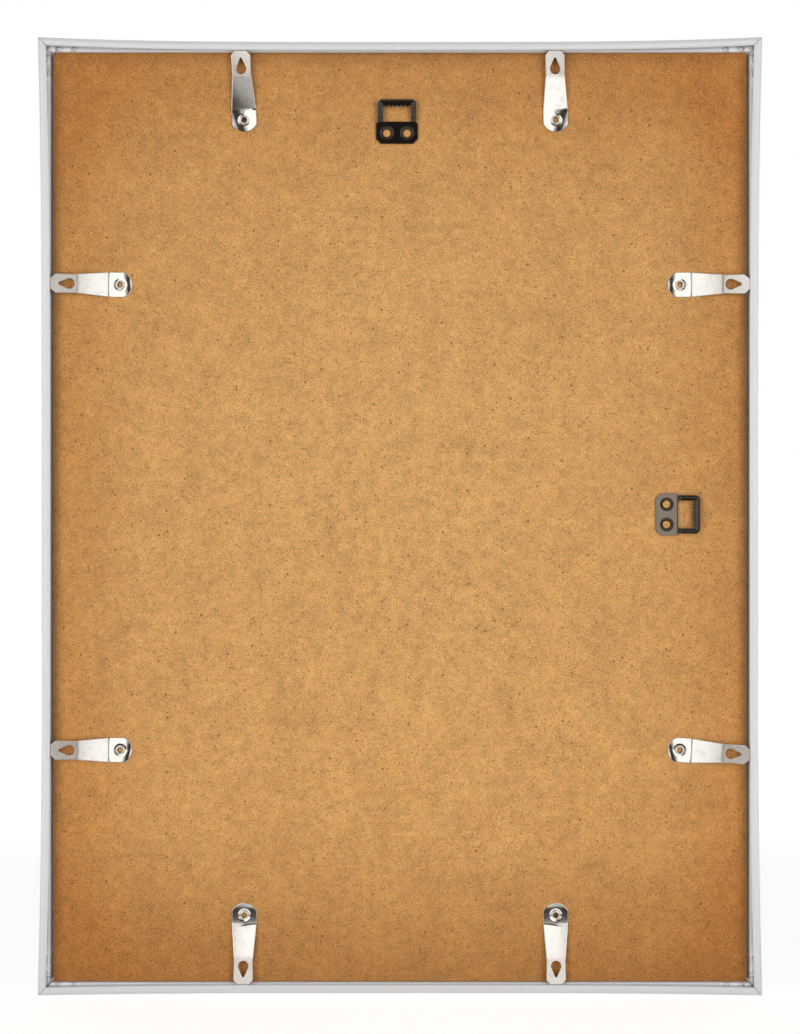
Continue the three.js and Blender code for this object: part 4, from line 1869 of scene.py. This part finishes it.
@dataclass
class Studio:
    """A pale floor, a white surround, soft light from both sides, and the camera at the back.

    Lengths are metres, and a brightness of 1 is white. On each side one soft box lights the back
    and another the front. Bordered screens and the dark of the room behind the camera show only
    in bright metal. The floor gives part of its white itself, and more of it further off, where
    it meets the surround. Its fade is a span of squared distances from the frame.
    """

    distance: float = 0.85
    view_height: float = 0.4420
    eye_level: float = -0.0003
    sensor: float = 36.0
    floor_half: float = 2.6
    floor_front: float = 0.15
    floor_gap: float = 0.0002
    floor_pale: Colour = (0.86, 0.86, 0.86)
    floor_cloud: Colour = (0.82, 0.82, 0.815)
    floor_cloud_size: float = 160.0
    floor_white: float = 0.801
    floor_share: float = 0.45
    floor_far_share: float = 0.12
    floor_fade: Point = (0.08, 0.60)
    lamp_colour: Colour = (1.0, 0.985, 0.96)
    box_size: Point = (0.70, 1.30)
    box_place: Point = (0.66, 1.00)
    back_radiance: float = 2.85
    front_radiance: float = 1.3
    wall_width: float = 1.40
    wall_foot: float = -0.44
    wall_head: float = 0.95
    wall_radiance: float = 1.35
    wall_inner_edge: float = 0.25
    wall_border: float = 0.11
    border_radiance: float = 0.50
    wall_distance: float = 2.0
    fill: float = 0.14
    white: Colour = (1.0, 1.0, 1.0)
    dark: float = 0.045
    dark_tint: Colour = (1.0, 0.78, 0.58)
    dark_span: Point = (0.10, 0.98)
    dark_power: float = 1.5
    pole_span: Point = (0.80, 0.97)

    def seen_rays(self, graph: Graph) -> Signal:
        """Tells the rays that see the backdrop from those that light things.

        Args:
            graph: The graph of the world or of a material.

        Returns:
            1 for rays of the camera, of reflections and of glass, and 0 for the others.
        """
        path = graph.node("ShaderNodeLightPath").outputs
        names = ("Is Camera Ray", "Is Glossy Ray", "Is Transmission Ray")
        camera, glossy, clear = (Signal(graph, path[name]) for name in names)
        return camera.at_least(glossy).at_least(clear)

    def build_world(self) -> None:
        """A white surround that darkens towards the camera side, and an even fill light."""
        world = bpy.data.worlds.new("studio_surround")
        bpy.context.scene.world = world
        world.use_nodes = True
        graph = Graph(world.node_tree)
        direction = graph.node("ShaderNodeTexCoord").outputs["Generated"]
        ahead = {0: direction, 1: (0.0, -1.0, 0.0)}
        facing = graph.node("ShaderNodeVectorMath", {"operation": "DOT_PRODUCT"}, ahead)
        towards = Signal(graph, facing.outputs["Value"])
        parts = graph.node("ShaderNodeSeparateXYZ", None, {0: direction}).outputs
        level = 1.0 - abs(Signal(graph, parts["Z"])).step(*self.pole_span)
        camera = Signal(graph, graph.node("ShaderNodeLightPath").outputs["Is Camera Ray"])
        room = towards.step(*self.dark_span) ** self.dark_power * level * (1.0 - camera)
        seen = 1.0 - room * (1.0 - self.dark)
        rays = self.seen_rays(graph)
        strength = rays * seen + (1.0 - rays) * self.fill
        tint = graph.blend(room * rays, self.white, self.dark_tint)
        shader = graph.node("ShaderNodeBackground", None, {"Color": tint, "Strength": strength})
        graph.node("ShaderNodeOutputWorld", None, {"Surface": shader.outputs[0]})

    def floor_material(self) -> bpy.types.Material:
        """The floor's finish: matt and pale, and partly white of itself where it is seen.

        Returns:
            The material.
        """
        material, graph = new_material("pale_floor")
        cloud = graph.noise(self.floor_cloud_size, 3.0) * 0.6
        tone = graph.blend(cloud, self.floor_pale, self.floor_cloud)
        matt = graph.node("ShaderNodeBsdfDiffuse", None, {"Color": tone})
        strength = self.floor_white / self.floor_share
        glow = graph.node("ShaderNodeEmission", None, {"Color": self.white, "Strength": strength})
        across, back, _ = graph.axes()
        far = (across * across + back * back).step(*self.floor_fade)
        factor = self.seen_rays(graph) * (self.floor_share + far * self.floor_far_share)
        shaders = {0: factor, 1: matt.outputs[0], 2: glow.outputs[0]}
        mixed = graph.node("ShaderNodeMixShader", None, shaders)
        graph.node("ShaderNodeOutputMaterial", None, {"Surface": mixed.outputs[0]})
        return material

    def build_floor(self) -> None:
        """A plain pale floor at the foot of the frame, which keeps the frame's shadow."""
        level = CAD_BOX[0].z - self.floor_gap
        reach, front = self.floor_half, -self.floor_front
        plan = ((-reach, front), (reach, front), (reach, reach), (-reach, reach))
        mesh = bpy.data.meshes.new("studio_floor")
        mesh.from_pydata([(x, y, level) for x, y in plan], [], [(0, 1, 2, 3)])
        mesh.materials.append(self.floor_material())
        made = to_scene("studio_floor", mesh)

    def add_lamp(
        self, name: str, size: Point, radiance: float, place: Triple, turn: float
    ) -> bpy.types.Object:
        """Adds a rectangular lamp that faces the frame.

        Args:
            name: Name of the lamp.
            size: Its width and height.
            radiance: How bright its face is.
            place: Where it stands.
            turn: How far it is turned about the upright axis, in degrees.

        Returns:
            The lamp's object.
        """
        lamp = bpy.data.lights.new(name, "AREA")
        lamp.shape = "RECTANGLE"
        lamp.size, lamp.size_y = size
        lamp.energy = radiance * math.pi * size[0] * size[1]
        lamp.color = self.lamp_colour
        made = to_scene(name, lamp)
        made.location = place
        made.rotation_euler = (math.radians(90), 0.0, math.radians(turn))
        made.visible_camera = False
        return made

    def build_lamps(self) -> None:
        """The soft boxes and the bordered screens, the same on both sides."""
        across, back = self.box_place
        turn = math.degrees(math.atan2(across, back))
        height = self.wall_head - self.wall_foot
        middle = (self.wall_head + self.wall_foot) / 2
        border = self.wall_border
        screens = (
            ("screen", self.wall_inner_edge, self.wall_width, self.wall_radiance),
            ("screen_border", self.wall_inner_edge - border, border, self.border_radiance),
        )
        for name, hand in (("left", -1.0), ("right", 1.0)):
            boxes = (
                ("soft_box", self.back_radiance, -back, hand * turn),
                ("front_box", self.front_radiance, back, 180.0 - hand * turn),
            )
            for part, radiance, depth, facing in boxes:
                place = (hand * across, depth, 0.0)
                box = self.add_lamp(f"{part}_{name}", self.box_size, radiance, place, facing)
                box.visible_glossy = False
            for part, inner, width, radiance in screens:
                place = (hand * (inner + width / 2), -self.wall_distance, middle)
                screen = self.add_lamp(f"{part}_{name}", (width, height), radiance, place, 0.0)
                screen.visible_diffuse = False

    def build_camera(self) -> None:
        """The camera, square to the back of the frame."""
        data = bpy.data.cameras.new("camera")
        data.sensor_width = self.sensor
        data.lens = self.sensor * self.distance / self.view_height
        made = to_scene("camera", data)
        made.location = (0.0, CAD_BOX[0].y - self.distance, self.eye_level)
        made.rotation_euler = (math.radians(90), 0.0, 0.0)
        bpy.context.scene.camera = made

    def build(self) -> None:
        """Sets the stage, the light and the camera."""
        bpy.context.scene.view_settings.view_transform = "Standard"
        self.build_world()
        self.build_floor()
        self.build_lamps()
        self.build_camera()
        LOG.info("studio: floor, lamps and camera")


def main() -> None:
    """Builds the frame's looks in order."""
    logging.basicConfig(level=logging.INFO, format="%(name)s %(message)s")
    places = BoardPlaces()
    Studio().build()
    PicturePack(places).build()
    Rails().build()
    SwivelClips(places).build()
    Hangers(places).build()


if __name__ == "__main__":
    main()
